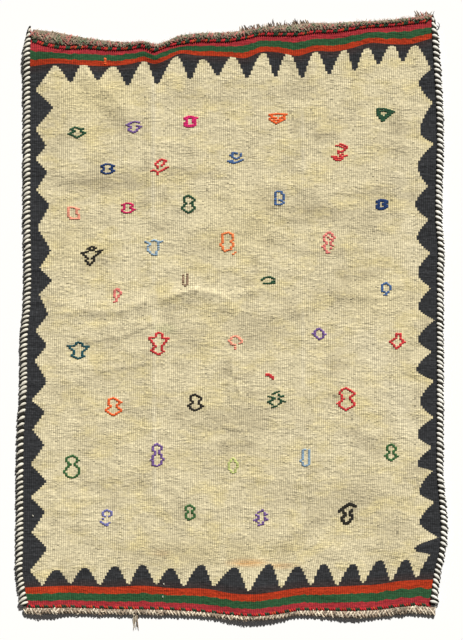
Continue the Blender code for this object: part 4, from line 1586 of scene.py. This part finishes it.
class KILIM_OT_loose_ends(bpy.types.Operator):
    """Lay the cut warp ends, the tufts and the loose threads"""

    bl_idname = "kilim.loose_ends"
    bl_label = "Lay loose ends"

    def execute(self, context):
        finish = yarn_finish()
        for group in STRAND_GROUPS:
            settle(yarn_object(group.name + "_ends", self.strands(group), finish), "loose_wool", group.name)
        uneven = random.Random("threads")
        threads = [self.thread(thread, uneven) for thread in THREADS]
        settle(yarn_object("loose_threads", threads, finish), "loose_wool")
        return {"FINISHED"}

    def strands(self, group):
        """The strands of one group, each bent a little, thinning to its tip and lying on the floor."""
        uneven = random.Random(group.name)
        end = TOP_END if group.at_top else BOTTOM_END
        outwards = 1.0 if group.at_top else -1.0
        x0, x1 = end_places(end, 0.0)[0], end_places(end, 1.0)[0]
        made = []
        for k in range(group.count):
            x = group.from_x + (k + uneven.uniform(0.2, 0.8)) * (group.to_x - group.from_x) / group.count
            x, inner, outer = end_places(end, (x - x0) / (x1 - x0))
            length = uneven.uniform(group.shortest, group.longest)
            lean = uneven.uniform(-1, 1) * group.lean
            height = uneven.uniform(2.5, 6.0)
            wave = uneven.uniform(-1.5, 1.5)
            line = [
                (
                    x + lean * length * s + wave * math.sin(s * 5),
                    outer - outwards * 3 + outwards * (length + 3) * s,
                    max(0.7, height * (1 - 1.3 * s)),
                )
                for s in (0.0, 0.2, 0.4, 0.6, 0.8, 1.0)
            ]
            thick = np.array([0.9, 1.0, 0.95, 0.85, 0.7, 0.35]) * uneven.uniform(0.8, 1.3)
            tone = tuple(np.array(linear(uneven.choice(group.dyes))) * uneven.uniform(0.8, 1.2))
            made.append((*tube(line, thick, thick * 0.9, 5), tone))
        return made

    def thread(self, thread, uneven):
        """One loose thread, lying where it falls."""
        on_cloth = thread.dye == "pale_wrap"
        line = []
        for s in np.linspace(0, 1, 8):
            x = thread.x + thread.tip_x * s + thread.wave * math.sin(s * 6.0)
            y = thread.y + thread.tip_y * s + thread.wave * 0.4 * math.sin(s * 9.0 + 1.0)
            z = float(cloth_top(x, y)) + 0.7 if on_cloth else max(0.8, 5.0 * (1 - 1.6 * s))
            line.append((x, y, z))
        thick = thread.thick * np.array([0.7, 1, 1, 1, 1, 0.9, 0.8, 0.4]) / 2 * 1.3
        return (*tube(line, thick, thick, 5), linear(thread.dye))


class KILIM_OT_lay_stage(bpy.types.Operator):
    """Lay the pale floor, and place the lights and the camera over the rug"""

    bl_idname = "kilim.lay_stage"
    bl_label = "Lay stage"

    def execute(self, context):
        settings = context.scene.kilim.stage
        self.floor(settings)
        self.lights(context.scene, settings)
        self.camera(context.scene, settings)
        return {"FINISHED"}

    def floor(self, settings):
        mesh = bpy.data.meshes.new("floor")
        half = 6.0
        mesh.from_pydata([(-half, -half, 0), (half, -half, 0), (half, half, 0), (-half, half, 0)], [], [(0, 1, 2, 3)])
        material = bpy.data.materials.new("pale_floor")
        material.use_nodes = True
        shader = material.node_tree.nodes["Principled BSDF"]
        shader.inputs["Base Color"].default_value = (*settings.floor, 1.0)
        shader.inputs["Roughness"].default_value = 0.95
        shader.inputs["Specular IOR Level"].default_value = 0.1
        mesh.materials.append(material)
        add_object("floor", mesh)

    def lights(self, scene, settings):
        """A soft key light from the rug's top right, and an even pale fill from all round."""
        height, side = settings.sun_height, settings.sun_side
        light = bpy.data.lights.new("key", "SUN")
        light.energy = math.pi * settings.brightness * settings.sun_share / math.sin(height)
        light.angle = settings.sun_spread
        light.color = (1.0, 0.985, 0.955)
        key = bpy.data.objects.new("key", light)
        falls = Vector((-math.sin(side) * math.cos(height), -math.cos(side) * math.cos(height), -math.sin(height)))
        key.rotation_euler = falls.to_track_quat("-Z", "Y").to_euler()
        scene.collection.objects.link(key)
        world = bpy.data.worlds.new("fill")
        world.use_nodes = True
        background = world.node_tree.nodes["Background"]
        background.inputs["Color"].default_value = (1.0, 0.98, 0.98, 1.0)
        background.inputs["Strength"].default_value = settings.brightness * (1 - settings.sun_share)
        scene.world = world
        scene.view_settings.view_transform = "Standard"

    def camera(self, scene, settings):
        """Straight above the rug, framed so that a picture 640 pixels high shows one picture scale of floor per pixel.
        """
        lens = bpy.data.cameras.new("camera")
        lens.sensor_fit = "VERTICAL"
        lens.sensor_height = 36.0
        lens.lens = lens.sensor_height * settings.camera_height / (640 * settings.pixel)
        camera = bpy.data.objects.new("camera", lens)
        camera.location = (0.0004, 0.0, settings.camera_height + 0.004)
        scene.collection.objects.link(camera)
        scene.camera = camera


OPERATORS = (
    KILIM_OT_weave_cloth,
    KILIM_OT_overcast_sides,
    KILIM_OT_plait_ends,
    KILIM_OT_twine_ends,
    KILIM_OT_stitch_figures,
    KILIM_OT_loose_ends,
    KILIM_OT_lay_stage,
)


class KILIM_PT_maker(bpy.types.Panel):
    """Steps that make the rug"""

    bl_idname = "KILIM_PT_maker"
    bl_label = "Kilim"
    bl_space_type = "VIEW_3D"
    bl_region_type = "UI"
    bl_category = "Kilim"

    def draw(self, context):
        for operator in OPERATORS:
            self.layout.operator(operator.bl_idname)
        for group in (context.scene.kilim.cloth, context.scene.kilim.edges, context.scene.kilim.figures,
                      context.scene.kilim.stage):
            box = self.layout.box()
            for name in group.__annotations__:
                box.prop(group, name)


CLASSES = (
    KilimClothSettings,
    KilimEdgeSettings,
    KilimFigureSettings,
    KilimStageSettings,
    KilimSettings,
    *OPERATORS,
    KILIM_PT_maker,
)


def register():
    for cls in CLASSES:
        bpy.utils.register_class(cls)
    bpy.types.Scene.kilim = PointerProperty(type=KilimSettings)


def unregister():
    del bpy.types.Scene.kilim
    for cls in reversed(CLASSES):
        bpy.utils.unregister_class(cls)


def main():
    for old in [o for o in bpy.data.objects if o.name in ("Cube", "Light", "Camera")]:
        bpy.data.objects.remove(old)
    register()
    bpy.ops.kilim.weave_cloth()
    bpy.ops.kilim.overcast_sides()
    bpy.ops.kilim.plait_ends()
    bpy.ops.kilim.twine_ends()
    bpy.ops.kilim.stitch_figures()
    bpy.ops.kilim.loose_ends()
    bpy.ops.kilim.lay_stage()


if __name__ == "__main__":
    main()
